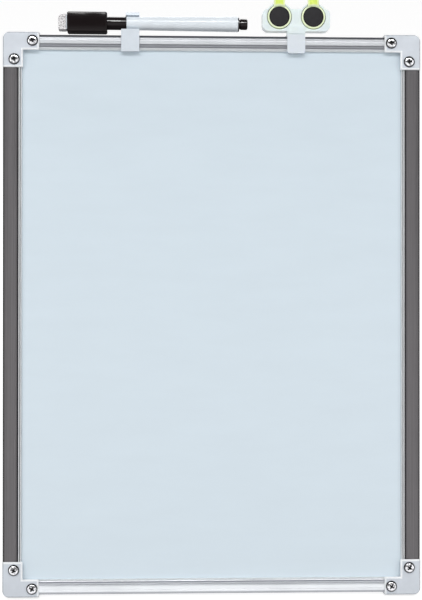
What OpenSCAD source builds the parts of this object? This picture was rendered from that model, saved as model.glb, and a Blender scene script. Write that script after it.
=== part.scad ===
// Magnetic whiteboard on a fold-out easel leg, with a marker clip and a magnet holder on its top rail.
// Millimetres, +Z up, viewer at -Y. Each piece is drawn on an upright board (x across, y to the rear
// from the crest of the rails, z up from the lower edge of the frame) and then leaned back.

/* [Board] */
// Width of the frame over its side rails
board_w = 300.4; // [240:0.2:420]
// Height of the frame over its top and bottom rails
board_h = 401; // [320:1:560]
// Angle that the board leans back on the desk
lean = 15; // [10:1:20]
// Depth of the writing sheet below the crest of the rails
face_recess = 2.6; // [2.4:0.1:4]
// Thickness of the enamelled writing sheet
sheet_t = 0.5; // [0.3:0.1:1]
// Thickness of the board core
core_t = 7; // [4:0.5:12]
// Thickness of the backing sheet
back_t = 0.5; // [0.3:0.1:1]

/* [Rails] */
// Width of the metal face of the side rails
side_face = 10.5; // [9:0.1:16]
// Width of the metal face of the top and bottom rails
cross_face = 9.6; // [8:0.1:16]
// Wall of the rails
rail_wall = 1.2; // [0.8:0.1:1.6]
// Wall of the rails behind their fluted face
face_wall = 0.9; // [0.6:0.1:1.2]
// Drop of the face from its crest to its outer edge
outer_drop = 1.5; // [0.5:0.1:3]
// Drop of the face from its crest to its inner edge
inner_drop = 1; // [0.2:0.1:1.1]
// Width of one flute along a rail
flute_w = 1.05; // [0.8:0.05:1.6]
// Depth of the flutes
flute_depth = 0.22; // [0.05:0.01:0.4]
// Depth of the first flute, which parts the plain band of the face from its fluted band
groove_depth = 0.45; // [0.2:0.05:0.5]
// Width of the plain band from the outer edge of the side rails
side_plain = 0.6; // [0.4:0.1:4]
// Width of the plain band from the outer edge of the top and bottom rails
cross_plain = 6; // [0.4:0.1:8]

/* [Panel bead] */
// Width of the bead that shows inside the side rails
side_bead_w = 2.8; // [1:0.1:3]
// Width of the bead that shows inside the top and bottom rails
cross_bead_w = 1.2; // [1:0.1:3]
// Height of the bead above the writing sheet
bead_h = 2.1; // [1.4:0.1:2.3]
// Reach of the bead under the rail
bead_tongue = 0.8; // [0.5:0.1:2]
// Thickness of the bead under the rail
tongue_t = 0.5; // [0.3:0.1:0.8]

/* [Corner caps] */
// Wall of a cap outside the top or bottom rail
cap_over = 1.6; // [1.4:0.1:3]
// Wall of a cap in front of and behind the rails
cap_plate = 1.3; // [1:0.1:2]
// Length of a cap along the top or bottom rail
cap_leg_x = 25.9; // [24:0.1:40]
// Length of a cap along the side rail
cap_leg_z = 25.3; // [24:0.1:40]
// Width of a cap over the side rail
cap_w_x = 14.4; // [13.4:0.1:15]
// Width of a cap over the top or bottom rail
cap_w_z = 12.8; // [11.5:0.1:15]
// Radius of the outer corner of a cap
cap_r = 4.8; // [2:0.1:7]
// Bevel along the edges of a cap
cap_bevel = 0.6; // [0.2:0.1:1]
// Width of the flat along a cap's rear edge that stands on the desk
land_w = 4; // [2:0.5:5]

/* [Corner screws] */
// Distance of a screw from the outer corner of its cap, along the top or bottom rail
screw_along_x = 21.1; // [18.5:0.1:24]
// Distance of a screw from the outer corner of its cap, along the side rail
screw_along_z = 19.5; // [18.5:0.1:24]
// Distance of a screw from the outer edge of a cap, over the side rail
screw_in_x = 8.1; // [6:0.1:9]
// Distance of a screw from the outer edge of a cap, over the top or bottom rail
screw_in_z = 6.1; // [5:0.1:8]
// Radius of the pan head
head_r = 4.05; // [3:0.05:4.5]
// Height of the pan head
head_h = 1.9; // [1.2:0.1:2.5]
// Radius of the shank
shank_r = 1.45; // [1:0.05:1.8]
// Width of the arms of the cross recess
recess_w = 0.95; // [0.6:0.05:1.2]
// Length of the arms of the cross recess
recess_l = 4.4; // [3:0.1:5]
// Depth of the cross recess
recess_d = 1.1; // [0.5:0.1:1.4]

/* [Marker clip] */
// Place of the clip's left side along the top rail, from the middle
clip_x = -65.8; // [-75:0.1:-55]
// Width of the clip's front plate
clip_w = 13.1; // [9:0.1:20]
// Width of the clip's upper jaw
jaw_w = 9.8; // [6:0.1:13]
// Drop of the clip's front plate over the rail
clip_drop = 11.9; // [8:0.1:16]
// Thickness of the plates that hold the rail
plate_t = 1.6; // [1:0.1:2.4]
// Thickness of the lip that hooks behind the rail at the foot of a front plate
lip_t = 0.9; // [0.6:0.1:1.2]
// Thickness of the clip's upper jaw
jaw_t = 2.1; // [1.5:0.1:3]
// Thickness of the wall behind the marker
spine_t = 1.8; // [1.2:0.1:3]
// Thickness of the web over the rail
web_t = 2; // [1.2:0.1:3]

/* [Marker] */
// Height of the marker's axis above the top rail
pen_over = 9.5; // [9.3:0.1:14]
// Length of the barrel
barrel_l = 80.4; // [60:0.2:83]
// Radius of the barrel beside the cap
barrel_r0 = 4.95; // [4.5:0.05:5.6]
// Radius of the barrel at its far end
barrel_r1 = 5.65; // [5:0.05:6.2]
// Radius of the bore of the barrel
barrel_bore = 4.1; // [3.6:0.05:4.3]
// Radius of the collar of the end plug
collar_r = 5.3; // [4.5:0.05:6]
// Thickness of the collar of the end plug
collar_t = 0.9; // [0.5:0.1:2]
// Radius of the end plug
plug_r = 4.05; // [3:0.05:4.6]
// Length of the end plug beyond its collar
plug_l = 6.1; // [3:0.1:7]
// Length of the end plug inside the barrel
plug_in = 7; // [4:0.5:12]
// Radius of the spout that holds the nib
spout_r = 3.2; // [2.6:0.05:3.5]
// Length of the spout
spout_l = 7; // [5:0.1:8]
// Radius of the nib
nib_r = 1.9; // [1.2:0.05:2.2]
// Reach of the nib beyond the spout
nib_l = 5; // [3:0.1:6]

/* [Marker cap and eraser] */
// Length of the cap's neck
neck_l = 13.7; // [13.2:0.1:18]
// Radius of the cap's neck
neck_r = 4.85; // [4.3:0.05:5]
// Length of the eraser block
block_l = 28.8; // [20:0.1:32]
// Height of the eraser block
block_h = 14.5; // [12:0.1:16]
// Thickness of the eraser block from front to rear
block_d = 13.6; // [11:0.1:18]
// Rounding of the eraser block
block_r = 1.6; // [0.8:0.1:3]
// Thickness of the eraser felt
felt_t = 6.4; // [3:0.1:8]
// Height of the eraser felt
felt_h = 11.2; // [8:0.1:13]

/* [Magnet holder] */
// Place of the middle of the holder along the top rail, from the middle
holder_x = 60.2; // [60:0.1:80]
// Width of the tray
tray_w = 49.1; // [46:0.1:49.5]
// Height of the tray
tray_h = 16.3; // [14:0.1:20]
// Height of the lower edge of the tray above the top rail
tray_over = 3.5; // [2.4:0.1:5]
// Depth of the tray from front to rear
tray_d = 8.6; // [8.4:0.1:12]
// Radius of the tray's lower corners
tray_r = 4.6; // [2:0.1:6]
// Spacing of the two cups
cup_pitch = 24.5; // [23:0.1:26]
// Height of the middle of the cups above the top rail
cup_over = 13.8; // [13:0.1:16]
// Outer radius of a cup
cup_r = 10.3; // [10.1:0.1:11.4]
// Wall of the tray
tray_wall = 1.4; // [1:0.1:2]
// Width of the stem in front of the rail
stem_w = 13; // [9:0.1:18]
// Drop of the stem over the rail
stem_drop = 12.2; // [8:0.1:16]
// Width of the raised pad where the stem meets the tray
pad_w = 11.5; // [7:0.1:13]
// Height of the raised pad
pad_h = 5.3; // [3:0.1:8]
// Thickness of the raised pad
pad_t = 0.5; // [0.3:0.1:1]
// Reach of the raised pad below the tray
pad_drop = 1.8; // [0:0.1:4]

/* [Magnets] */
// Radius of a magnet's grip
grip_r = 8.5; // [8.1:0.05:9]
// Thickness of a magnet's grip from front to rear
grip_t = 7.2; // [6:0.1:7.6]
// Radius of the ferrite disc
disc_r = 7.3; // [6:0.05:7.6]
// Thickness of the ferrite disc
disc_t = 3; // [2:0.1:4]
// Width of the pull tab
tab_w = 8.1; // [5:0.1:10]
// Reach of the pull tab from the middle of the magnet
tab_reach = 16.5; // [13:0.1:20]
// Thickness of the pull tab
tab_t = 2; // [1.2:0.1:3]

/* [Easel leg] */
// Height of the hinge up the board
hinge_h = 270; // [220:1:300]
// Angle of the leg from upright when it stands on the desk
prop_angle = 10; // [6:1:12]
// Distance of the hinge pin behind the backing sheet
hinge_off = 7.2; // [6.8:0.1:10]
// Width of the leg at its hinge
leg_w = 30; // [24:1:40]
// Width of the leg at its foot
foot_w = 54; // [40:1:70]
// Depth of the leg from front to rear
leg_d = 7; // [5:0.1:8]
// Wall of the leg
leg_wall = 2; // [1.4:0.1:2.6]
// Number of hollows between the ribs of the leg
bay_count = 5; // [3:1:8]
// Radius of the hinge barrel of the leg
barrel_r = 4.6; // [4:0.1:5]
// Radius of the hinge pin
pin_r = 2; // [1.5:0.1:2.5]
// Thickness of the foot pad
foot_t = 3; // [2:0.1:5]
// Depth of the foot pad from front to rear
foot_d = 9; // [7.5:0.1:9]

/* [Easel bracket] */
// Width of the bracket plate
bracket_w = 54; // [52:1:80]
// Height of the bracket plate
bracket_h = 40; // [30:1:60]
// Thickness of the bracket plate
bracket_t = 1.6; // [1.2:0.1:2]
// Thickness of the bracket's ears
ear_t = 2.4; // [1.6:0.1:4]
// Radius of the bracket's ears about the pin
ear_r = 4.8; // [4:0.1:6]
// Distance of the bracket screws from the sides of the plate
bracket_inset = 5; // [4:0.1:6]
// Radius of the heads of the bracket screws
small_head_r = 3; // [2:0.1:3.4]
// Height of the heads of the bracket screws
small_head_h = 1.4; // [1:0.1:2]
// Radius of the shanks of the bracket screws
small_shank_r = 1.3; // [1:0.05:1.6]
// Length of the bracket screws in the board
small_shank_l = 5; // [3:0.5:7]

/* [Fits] */
// Gap between a cap and the rails inside it
cap_fit = 0.1; // [0.05:0.05:0.3]
// Gap between the panel's edge and the rails
panel_fit = 0.4; // [0.2:0.1:1]
// Gap between flat pieces of the panel and the rails
seat_fit = 0.1; // [0.05:0.05:0.2]
// Gap round a screw in its hole
screw_fit = 0.05; // [0.02:0.01:0.15]
// Gap between the rail and what slides along it
slide_fit = 0.3; // [0.2:0.05:0.5]
// Gap between the marker and the jaws that hold it
jaw_fit = 0.2; // [0.1:0.05:0.4]
// Gap between pieces that are pushed into each other
push_fit = 0.05; // [0.02:0.01:0.1]
// Gap round the spout in the bore of the marker's cap
spout_fit = 0.15; // [0.1:0.05:0.3]
// Gap round a magnet in its cup
cup_fit = 0.5; // [0.3:0.1:0.8]
// Gap between a magnet and the floor of its cup
floor_fit = 0.3; // [0.2:0.05:0.5]
// Running clearance round the hinge pin
pin_fit = 0.06; // [0.02:0.01:0.1]
// Gap on each side of the leg between the bracket's ears
ear_fit = 0.4; // [0.2:0.1:1]
// Gap between the heel of the leg and the bracket at rest
stop_fit = 0.2; // [0.1:0.05:0.4]

/* [Hidden] */
$fn = 48;
// Overlap of a cut beyond the surface that it opens
cut = 1;

// Panel, rails and caps, from front to rear
panel_t = sheet_t + core_t + back_t;
back_y = face_recess + panel_t;
rail_d = back_y + seat_fit + rail_wall;
cap_front = -cap_fit - cap_plate;
cap_back = rail_d + cap_fit + cap_plate;
panel_inset = rail_wall + panel_fit;

// Ends of the rails, which stop at the solid corner of each cap
cap_x = board_w / 2;
cross_end = cap_x - cap_w_x - cap_fit;
side_end = cap_w_z - cap_over + cap_fit;

// Plates of the clip and the holder round the top rail
plate_front = -slide_fit - plate_t;
plate_rear = rail_d + slide_fit;
web_low = board_h + slide_fit;
hook_z = board_h - cross_face - slide_fit;
hook_t = 1.4;
// Part of the jaws' depth that the upper jaw reaches over in front of the marker's axis
jaw_reach = 0.75;

// Marker: place of its axis and of its ends along the rail
pen_y = rail_d / 2;
pen_z = board_h + pen_over;
pen_gap = 0.1;
jaw_start = 0.5;
barrel_x = clip_x + clip_w - jaw_w + jaw_start;
jaw_r = barrel_r0 + (barrel_r1 - barrel_r0) * jaw_w / barrel_l + jaw_fit;
ring_l = 1.2;
ring_h = 0.15;
spout_flange_t = 1;
spout_edge = 0.7;
barrel_edge = 0.3;
spout_flare = 0.3;
spout_in = 6;
nib_in = 4;
cap_bore_l = spout_l + nib_l + 1;

// Magnets and cups
cup_z = board_h + cup_over;
grip_front = plate_front - 1;
grip_rear = grip_front + grip_t;
disc_proud = 0.2;
tab_low = 7;

// Hinge, in the upright board's frame and then on the desk
hinge_y = back_y + hinge_off;
leg_front = -leg_d / 2;
ear_x = leg_w / 2 + ear_fit;
heel_h = 8;
leg_straight = bracket_h / 2;
pin_head_r = 3;
pin_head_t = 1;
desk_z = cap_back * sin(lean) - (land_w * sin(lean) - cap_over) * cos(lean);
hinge_desk_y = hinge_y * cos(lean) + hinge_h * sin(lean);
hinge_desk_z = hinge_h * cos(lean) - hinge_y * sin(lean) + desk_z;
foot_y = hinge_desk_y + hinge_desk_z * tan(prop_angle);
leg_l = hinge_desk_z / cos(prop_angle);

// The origin lies below the middle of the whole, from the lower screw heads to the foot pad
front_reach = (cap_front - head_h) * cos(lean) + (screw_in_z - cap_over - head_r / 2) * sin(lean);
rear_reach = foot_y + foot_d / 2;
desk_y = -(front_reach + rear_reach) / 2;

// ---- placing ----

// Leans an upright board piece back onto the desk
module on_desk() translate([0, desk_y, desk_z]) rotate([-lean, 0, 0]) children();

// Turns a profile drawn in (y, z) into a bar along x that starts at x = 0
module along_x(length) rotate([90, 0, 90]) linear_extrude(length) children();

// Turns an outline drawn in (x, z) into a slab between two depths
module slab(y0, y1) translate([0, y1, 0]) rotate([90, 0, 0]) linear_extrude(y1 - y0) children();

// Turns a z axis to point to the rear
module to_rear() rotate([-90, 0, 0]) children();

// Sets a piece drawn from a cap's outer corner inwards at one of the four corners
module at_corner(right, top)
    translate([right ? cap_x : -cap_x, 0, top ? board_h + cap_over : -cap_over])
        mirror([right ? 1 : 0, 0, 0]) mirror([0, 0, top ? 1 : 0]) children();

// Both screws of one cap, from the cap's outer corner inwards
module at_screws() {
    translate([screw_along_x, 0, screw_in_z]) children();
    translate([screw_in_x, 0, screw_along_z]) children();
}

module at_all_screws()
    for (right = [false, true], top = [false, true]) at_corner(right, top) at_screws() children();

// ---- rails ----

// Fall of the crowned face at u across a face of width w, without its flutes
function crown(u, w) =
    let (s = 2 * u / w - 1) (s < 0 ? outer_drop : inner_drop) * pow(abs(s), 2.4);

// Places of the points across the face: few on its plain band and many on the flutes
function face_places(w, plain) =
    let (count = floor((w - plain) / flute_w), last = plain + count * flute_w)
    let (plain_steps = 8, flute_steps = 6)
    concat(
        [for (i = [0 : plain_steps - 1]) plain * i / plain_steps],
        [for (i = [0 : count * flute_steps]) plain + i * flute_w / flute_steps],
        last < w ? [w] : []
    );

// Depth of the flutes at u, the first one deeper
function flute(u, w, plain) =
    let (place = (u - plain) / flute_w, count = floor((w - plain) / flute_w))
    place <= 0 || place >= count ? 0 :
        (place < 1 ? groove_depth : flute_depth) * (0.5 - 0.5 * cos(360 * place));

// Open section of a rail: u runs inwards from the outer edge and v to the rear from the crest
module rail_section(w, plain) {
    wall_steps = 6;
    edge_r = 1;
    front = [for (u = face_places(w, plain)) [u, crown(u, w) + flute(u, w, plain)]];
    inside = [
        for (i = [wall_steps : -1 : 0])
            let (u = rail_wall + (w - rail_wall) * i / wall_steps) [u, crown(u, w) + face_wall]
    ];
    rear = [
        [rail_wall, rail_d - rail_wall], [w, rail_d - rail_wall], [w, rail_d],
        [edge_r, rail_d], [edge_r * 0.3, rail_d - edge_r * 0.3], [0, rail_d - edge_r]
    ];
    polygon(concat(front, inside, rear));
}

module screw_holes(radius)
    at_all_screws() translate([0, cap_front - cut, 0]) to_rear()
        cylinder(r = radius, h = face_recess - cap_front);

module side_rail()
    color("darkgray") difference() {
        translate([-board_w / 2, 0, side_end])
            linear_extrude(board_h - 2 * side_end) rail_section(side_face, side_plain);
        screw_holes(shank_r + screw_fit);
    }

module cross_rail()
    color("silver") difference() {
        translate([-cross_end, 0, board_h]) rotate([0, 90, 0])
            linear_extrude(2 * cross_end) rail_section(cross_face, cross_plain);
        screw_holes(shank_r + screw_fit);
    }

module left_rail() on_desk() side_rail();
module right_rail() on_desk() mirror([1, 0, 0]) side_rail();
module top_rail() on_desk() cross_rail();
module bottom_rail() on_desk() translate([0, 0, board_h]) mirror([0, 0, 1]) cross_rail();

// ---- panel bead: a clear white strip with two ridges that closes the joint between rail and sheet ----

// Section of a bead, r wide, inside a rail whose face is w wide: groove, ridge, valley and ridge
module bead_section(w, r) {
    low = face_recess - seat_fit;
    top = low - bead_h;
    tongue = low - tongue_t;
    valley = low - bead_h / 4;
    step = r / 4;
    polygon([
        [w - bead_tongue, tongue], [w + step * 0.9, tongue], [w + step, top + step / 3],
        [w + step * 1.3, top], [w + step * 1.7, top], [w + step * 2, top + step / 3],
        [w + step * 2.1, valley], [w + step * 2.7, valley], [w + step * 2.9, top + bead_h * 0.2],
        [w + step * 3.4, top + bead_h * 0.15], [w + r, top + bead_h * 0.5],
        [w + r, low], [w - bead_tongue, low]
    ]);
}

module side_bead()
    color("white") translate([-board_w / 2, 0, side_end])
        linear_extrude(board_h - 2 * side_end) bead_section(side_face, side_bead_w);

module cross_bead()
    color("white") translate([-cross_end, 0, board_h]) rotate([0, 90, 0])
        linear_extrude(2 * cross_end) bead_section(cross_face, cross_bead_w);

module left_bead() on_desk() side_bead();
module right_bead() on_desk() mirror([1, 0, 0]) side_bead();
module top_bead() on_desk() cross_bead();
module bottom_bead() on_desk() translate([0, 0, board_h]) mirror([0, 0, 1]) cross_bead();

// ---- panel: enamelled sheet, core and backing sheet ----

module panel_layer(y0, thickness)
    translate([panel_inset - board_w / 2, y0, panel_inset])
        cube([board_w - 2 * panel_inset, thickness, board_h - 2 * panel_inset]);

// The four screws of the easel bracket
module at_bracket_screws()
    for (x = [-1, 1] * (bracket_w / 2 - bracket_inset), z = [-1, 1] * (bracket_h / 2 - bracket_inset))
        translate([x, back_y, hinge_h + z]) children();

module bracket_pilots()
    at_bracket_screws() translate([0, -small_shank_l - seat_fit, 0]) to_rear()
        cylinder(r = small_shank_r + screw_fit, h = small_shank_l + bracket_t + cut);

module writing_sheet() color("aliceblue") on_desk() panel_layer(face_recess, sheet_t);

module core_panel()
    color("burlywood") on_desk() difference() {
        panel_layer(face_recess + sheet_t, core_t);
        bracket_pilots();
    }

module backing_sheet()
    color("gainsboro") on_desk() difference() {
        panel_layer(face_recess + sheet_t + core_t, back_t);
        bracket_pilots();
    }

// ---- corner caps ----

// Section of a bar of a cap: w wide, from the cap's front to its rear, its four edges bevelled
function bar_outline(w) = let (b = cap_bevel) [
    [b, cap_front], [w - b, cap_front], [w, cap_front + b], [w, cap_back - b],
    [w - b, cap_back], [b, cap_back], [0, cap_back - b], [0, cap_front + b]
];

// Bar of a cap, w wide across x, from the start of its round corner to its bevelled end at z = l
module cap_bar(w, l) intersection() {
    translate([0, 0, cap_r]) linear_extrude(l - cap_r) polygon(bar_outline(w));
    translate([w, 0, 0]) rotate([0, -90, 0]) linear_extrude(w) polygon(bar_outline(l));
}

module corner_cap()
    color("whitesmoke") difference() {
        union() {
            cap_bar(cap_w_x, cap_leg_z);
            mirror([1, 0, 0]) rotate([0, -90, 0]) cap_bar(cap_w_z, cap_leg_x);
            translate([cap_r, 0, cap_r]) to_rear() rotate([0, 0, 90]) rotate_extrude(angle = 90)
                polygon([
                    [0, cap_front], [cap_r - cap_bevel, cap_front], [cap_r, cap_front + cap_bevel],
                    [cap_r, cap_back - cap_bevel], [cap_r - cap_bevel, cap_back], [0, cap_back]
                ]);
        }
        // Sleeve for the top or bottom rail, and fork for the side rail, whose outer wall stays in sight
        translate([cap_w_x, -cap_fit, cap_over - cap_fit])
            cube([cap_leg_x, rail_d + 2 * cap_fit, cap_w_z]);
        translate([-cut, -cap_fit, cap_w_z])
            cube([cap_w_x + 2 * cut, rail_d + 2 * cap_fit, cap_leg_z]);
        // Slot for the corner of the panel
        translate([rail_wall, face_recess - seat_fit, cap_over + rail_wall])
            cube([cap_leg_x, panel_t + 2 * seat_fit, cap_leg_z]);
        // Flat that lies on the desk once the board leans back
        translate([-cut, cap_back - land_w * cos(lean), 0]) rotate([lean, 0, 0])
            translate([0, 0, -land_w]) cube([cap_leg_x + 2 * cut, 2 * land_w, land_w]);
        at_screws() translate([0, cap_front - cut, 0]) to_rear()
            cylinder(r = shank_r + screw_fit, h = cap_plate + 2 * cut);
    }

module top_left_cap() on_desk() at_corner(false, true) corner_cap();
module top_right_cap() on_desk() at_corner(true, true) corner_cap();
module bottom_left_cap() on_desk() at_corner(false, false) corner_cap();
module bottom_right_cap() on_desk() at_corner(true, false) corner_cap();

// ---- screws ----

// Half outline of a pan head of radius r and height h on a shank, both from the seat at z = 0
module pan_screw_half(r, h, shank, length)
    polygon(concat(
        [[0, length], [shank, length], [shank, 0], [r, 0]],
        [for (a = [0 : 15 : 90]) [r - h * 0.55 + h * 0.55 * cos(a), -h * 0.3 - h * 0.5 * sin(a)]],
        [[0, -h]]
    ));

module pan_screw(r, h, shank, length) rotate_extrude() pan_screw_half(r, h, shank, length);

module corner_screw()
    color("lightgray") translate([0, cap_front, 0]) to_rear() difference() {
        pan_screw(head_r, head_h, shank_r, face_recess - panel_fit - cap_front);
        for (a = [45, 135]) rotate([0, 0, a]) translate([-recess_l / 2, -recess_w / 2, -head_h - cut])
            cube([recess_l, recess_w, recess_d + cut]);
    }

module corner_screws() on_desk() at_all_screws() corner_screw();

module bracket_screws()
    color("lightgray") on_desk() at_bracket_screws() translate([0, bracket_t, 0]) rotate([90, 0, 0])
        pan_screw(small_head_r, small_head_h, small_shank_r, small_shank_l + bracket_t);

// ---- easel bracket, pin and leg ----

module easel_bracket() {
    corner_r = 4;
    color("silver") on_desk() difference() {
        union() {
            slab(back_y, back_y + bracket_t)
                translate([-bracket_w / 2, hinge_h - bracket_h / 2])
                    rounded_box(bracket_w, bracket_h, corner_r);
            for (side = [-1, 1])
                translate([side * (ear_x + ear_t / 2) - ear_t / 2, 0, 0]) along_x(ear_t) {
                    translate([hinge_y, hinge_h]) circle(r = ear_r);
                    translate([back_y + bracket_t / 2, hinge_h])
                        polygon([[0, -bracket_h / 3], [hinge_off - bracket_t / 2, -ear_r],
                            [hinge_off - bracket_t / 2, ear_r], [0, bracket_h / 3]]);
                }
        }
        bracket_pilots();
        translate([-bracket_w, hinge_y, hinge_h]) rotate([0, 90, 0])
            cylinder(r = pin_r + push_fit, h = 2 * bracket_w);
    }
}

// Rectangle with four round corners, its lower left corner at the origin
module rounded_box(w, h, r) {
    translate([r, 0]) square([w - 2 * r, h]);
    translate([0, r]) square([w, h - 2 * r]);
    for (x = [r, w - r], z = [r, h - r]) translate([x, z]) circle(r = r);
}

module hinge_pin() {
    half = ear_x + ear_t;
    color("gray") on_desk() translate([-half, hinge_y, hinge_h]) rotate([0, 90, 0]) {
        cylinder(r = pin_r, h = 2 * half);
        translate([0, 0, -pin_head_t]) cylinder(r = pin_head_r, h = pin_head_t);
        translate([0, 0, 2 * half]) cylinder(r = pin_head_r, h = pin_head_t);
    }
}

// Sets a piece drawn on an upright leg, from the hinge pin, at the angle it has on the desk
module on_leg()
    translate([0, desk_y + hinge_desk_y, hinge_desk_z]) rotate([prop_angle, 0, 0]) children();

// Half width of the leg at z below the pin, drawn in by e: straight past the bracket, then widening
function leg_half(z, e) =
    leg_w / 2 + (foot_w - leg_w) / 2 * max(0, (-z - leg_straight) / (leg_l - leg_straight)) - e;

// Piece of the leg's outline between two heights, drawn in by e at its sides
module leg_span(z0, z1, e) {
    knee = z0 < -leg_straight && -leg_straight < z1 ? [-leg_straight] : [];
    up = concat([z0], knee, [z1]);
    down = concat([z1], knee, [z0]);
    polygon(concat([for (z = up) [leg_half(z, e), z]], [for (z = down) [-leg_half(z, e), z]]));
}

// Side view of the leg's upper end in (y, z), round the pin
module leg_head() {
    heel_d = hinge_off - bracket_t - stop_fit;
    difference() {
        union() {
            circle(r = barrel_r);
            translate([leg_front, -leg_straight]) square([leg_d, leg_straight]);
            // Heel that meets the bracket when the leg is out
            rotate(-lean - prop_angle) translate([-heel_d, 0]) square([heel_d, heel_h]);
        }
        circle(r = pin_r + pin_fit);
    }
}

module easel_leg() {
    bay_top = -barrel_r - leg_wall;
    bay_low = foot_t + 3 * leg_wall - leg_l;
    bay_l = (bay_top - bay_low) / bay_count;
    color("gainsboro") difference() {
        on_leg() difference() {
            union() {
                translate([-leg_w / 2, 0, 0]) along_x(leg_w) leg_head();
                slab(leg_front, leg_front + leg_d) leg_span(-leg_l - foot_d, -leg_straight, 0);
            }
            // Hollows towards the board, in two rows beside a middle rib
            for (i = [0 : bay_count - 1])
                slab(leg_front - cut, leg_front + leg_d - leg_wall) difference() {
                    leg_span(bay_low + i * bay_l + leg_wall, bay_low + (i + 1) * bay_l, leg_wall);
                    translate([-leg_wall / 2, -leg_l]) square([leg_wall, leg_l]);
                }
        }
        // Foot cut level above its pad
        translate([-foot_w, desk_y, foot_t - 4 * foot_d]) cube([2 * foot_w, 2 * foot_y, 4 * foot_d]);
    }
}

module leg_foot_pad() {
    pad_r = 3;
    color("dimgray") translate([-foot_w / 2, desk_y + foot_y - foot_d / 2, 0])
        linear_extrude(foot_t) rounded_box(foot_w, foot_d, pad_r);
}

// ---- what clamps the top rail ----

// Section of the lip at the foot of a front plate that hangs down by drop
module lip_section(drop)
    translate([-slide_fit - plate_t / 2, board_h - drop]) square([face_recess + plate_t / 2, lip_t]);

// Section of a saddle over the top rail: front plate, web and a rear plate that hooks under the flange
module saddle_section(drop) {
    rear = plate_rear + plate_t;
    polygon([
        [plate_front, board_h - drop], [-slide_fit, board_h - drop], [-slide_fit, web_low],
        [plate_rear, web_low], [plate_rear, hook_z], [back_y + slide_fit, hook_z],
        [plate_rear, hook_z - hook_t], [rear, hook_z - hook_t],
        [rear, web_low + web_t], [plate_front, web_low + web_t]
    ]);
}

module marker_clip() {
    low = pen_z - jaw_r;
    high = pen_z + jaw_r + jaw_t;
    spine = pen_y + jaw_r + spine_t;
    tip = pen_y - jaw_r * jaw_reach;
    color("aliceblue") on_desk() {
        translate([clip_x, 0, 0]) along_x(clip_w) {
            saddle_section(clip_drop);
            lip_section(clip_drop);
            difference() {
                translate([plate_front, web_low + web_t / 2])
                    square([spine - plate_front, pen_z - web_low - web_t / 2]);
                translate([pen_y, pen_z]) circle(r = jaw_r);
                translate([plate_front - cut, low]) square([pen_y - plate_front + cut, 2 * jaw_r]);
            }
        }
        translate([clip_x + clip_w - jaw_w, 0, 0]) along_x(jaw_w) difference() {
            translate([plate_front, web_low + web_t / 2])
                square([spine - plate_front, high - web_low - web_t / 2]);
            translate([pen_y, pen_z]) circle(r = jaw_r);
            translate([plate_front - cut, low]) square([pen_y - plate_front + cut, 2 * jaw_r]);
            translate([plate_front - cut, low + jaw_r]) square([tip - plate_front + cut, 2 * jaw_r]);
        }
    }
}

// ---- marker ----

// Sets a round piece, drawn up its z axis, along the marker from the cap end of the barrel
module on_pen() on_desk() translate([barrel_x, pen_y, pen_z]) rotate([0, 90, 0]) children();

module marker_barrel()
    color("white") on_pen() rotate_extrude() polygon([
        [barrel_bore, 0], [barrel_r0 - barrel_edge, 0], [barrel_r0, barrel_edge],
        [barrel_r1, barrel_l - ring_l], [barrel_r1 + ring_h, barrel_l - ring_l],
        [barrel_r1 + ring_h, barrel_l], [barrel_bore, barrel_l]
    ]);

module marker_end_plug() {
    edge = 0.8;
    color([0.1, 0.1, 0.1]) on_pen() translate([0, 0, barrel_l]) rotate_extrude() polygon([
        [0, -plug_in], [barrel_bore - push_fit, -plug_in], [barrel_bore - push_fit, 0],
        [collar_r, 0], [collar_r, collar_t], [plug_r * 0.86, collar_t], [plug_r * 0.86, collar_t + edge],
        [plug_r, collar_t + 1.5 * edge], [plug_r, collar_t + plug_l - edge],
        [plug_r - edge, collar_t + plug_l], [0, collar_t + plug_l]
    ]);
}

module nib_holder()
    color([0.15, 0.15, 0.15]) on_pen() rotate_extrude() polygon([
        [nib_r + push_fit, spout_in], [nib_r + push_fit, -spout_l], [spout_r - spout_edge, -spout_l],
        [spout_r, -spout_l + 2 * spout_edge], [spout_r, -spout_flange_t], [spout_r + spout_flare, 0],
        [barrel_bore - push_fit, 0], [barrel_bore - push_fit, spout_in]
    ]);

module marker_nib()
    color([0.08, 0.08, 0.08]) on_pen() rotate_extrude() polygon(concat(
        [[0, spout_in - nib_in], [nib_r, spout_in - nib_in]],
        [for (a = [0 : 15 : 90]) [nib_r * cos(a), nib_r - spout_l - nib_l - nib_r * sin(a)]]
    ));

module ink_reservoir()
    color("ivory") on_pen() translate([0, 0, spout_in + push_fit])
        cylinder(r = barrel_bore - 0.4, h = barrel_l - spout_in - plug_in - 2 * push_fit);

// ---- marker cap with its eraser ----

module marker_cap() {
    lip = 0.4;
    color([0.13, 0.1, 0.1]) on_desk() difference() {
        union() {
            translate([barrel_x - pen_gap - neck_l, pen_y, pen_z]) rotate([0, 90, 0]) rotate_extrude()
                polygon([
                    [0, -block_r], [neck_r, -block_r], [neck_r, neck_l - lip], [neck_r - lip, neck_l],
                    [0, neck_l]
                ]);
            // Block rounded along its length and round its front and rear faces
            translate([barrel_x - pen_gap - neck_l - block_l, 0, 0]) intersection() {
                along_x(block_l) translate([pen_y - block_d / 2, pen_z - block_h / 2])
                    rounded_box(block_d, block_h, block_r);
                slab(pen_y - block_d, pen_y + block_d) translate([0, pen_z - block_h / 2])
                    rounded_box(block_l, block_h, block_r / 2);
            }
        }
        translate([barrel_x - pen_gap - cap_bore_l, pen_y, pen_z]) rotate([0, 90, 0])
            cylinder(r = spout_r + spout_flare + spout_fit, h = cap_bore_l + cut);
    }
}

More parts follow.
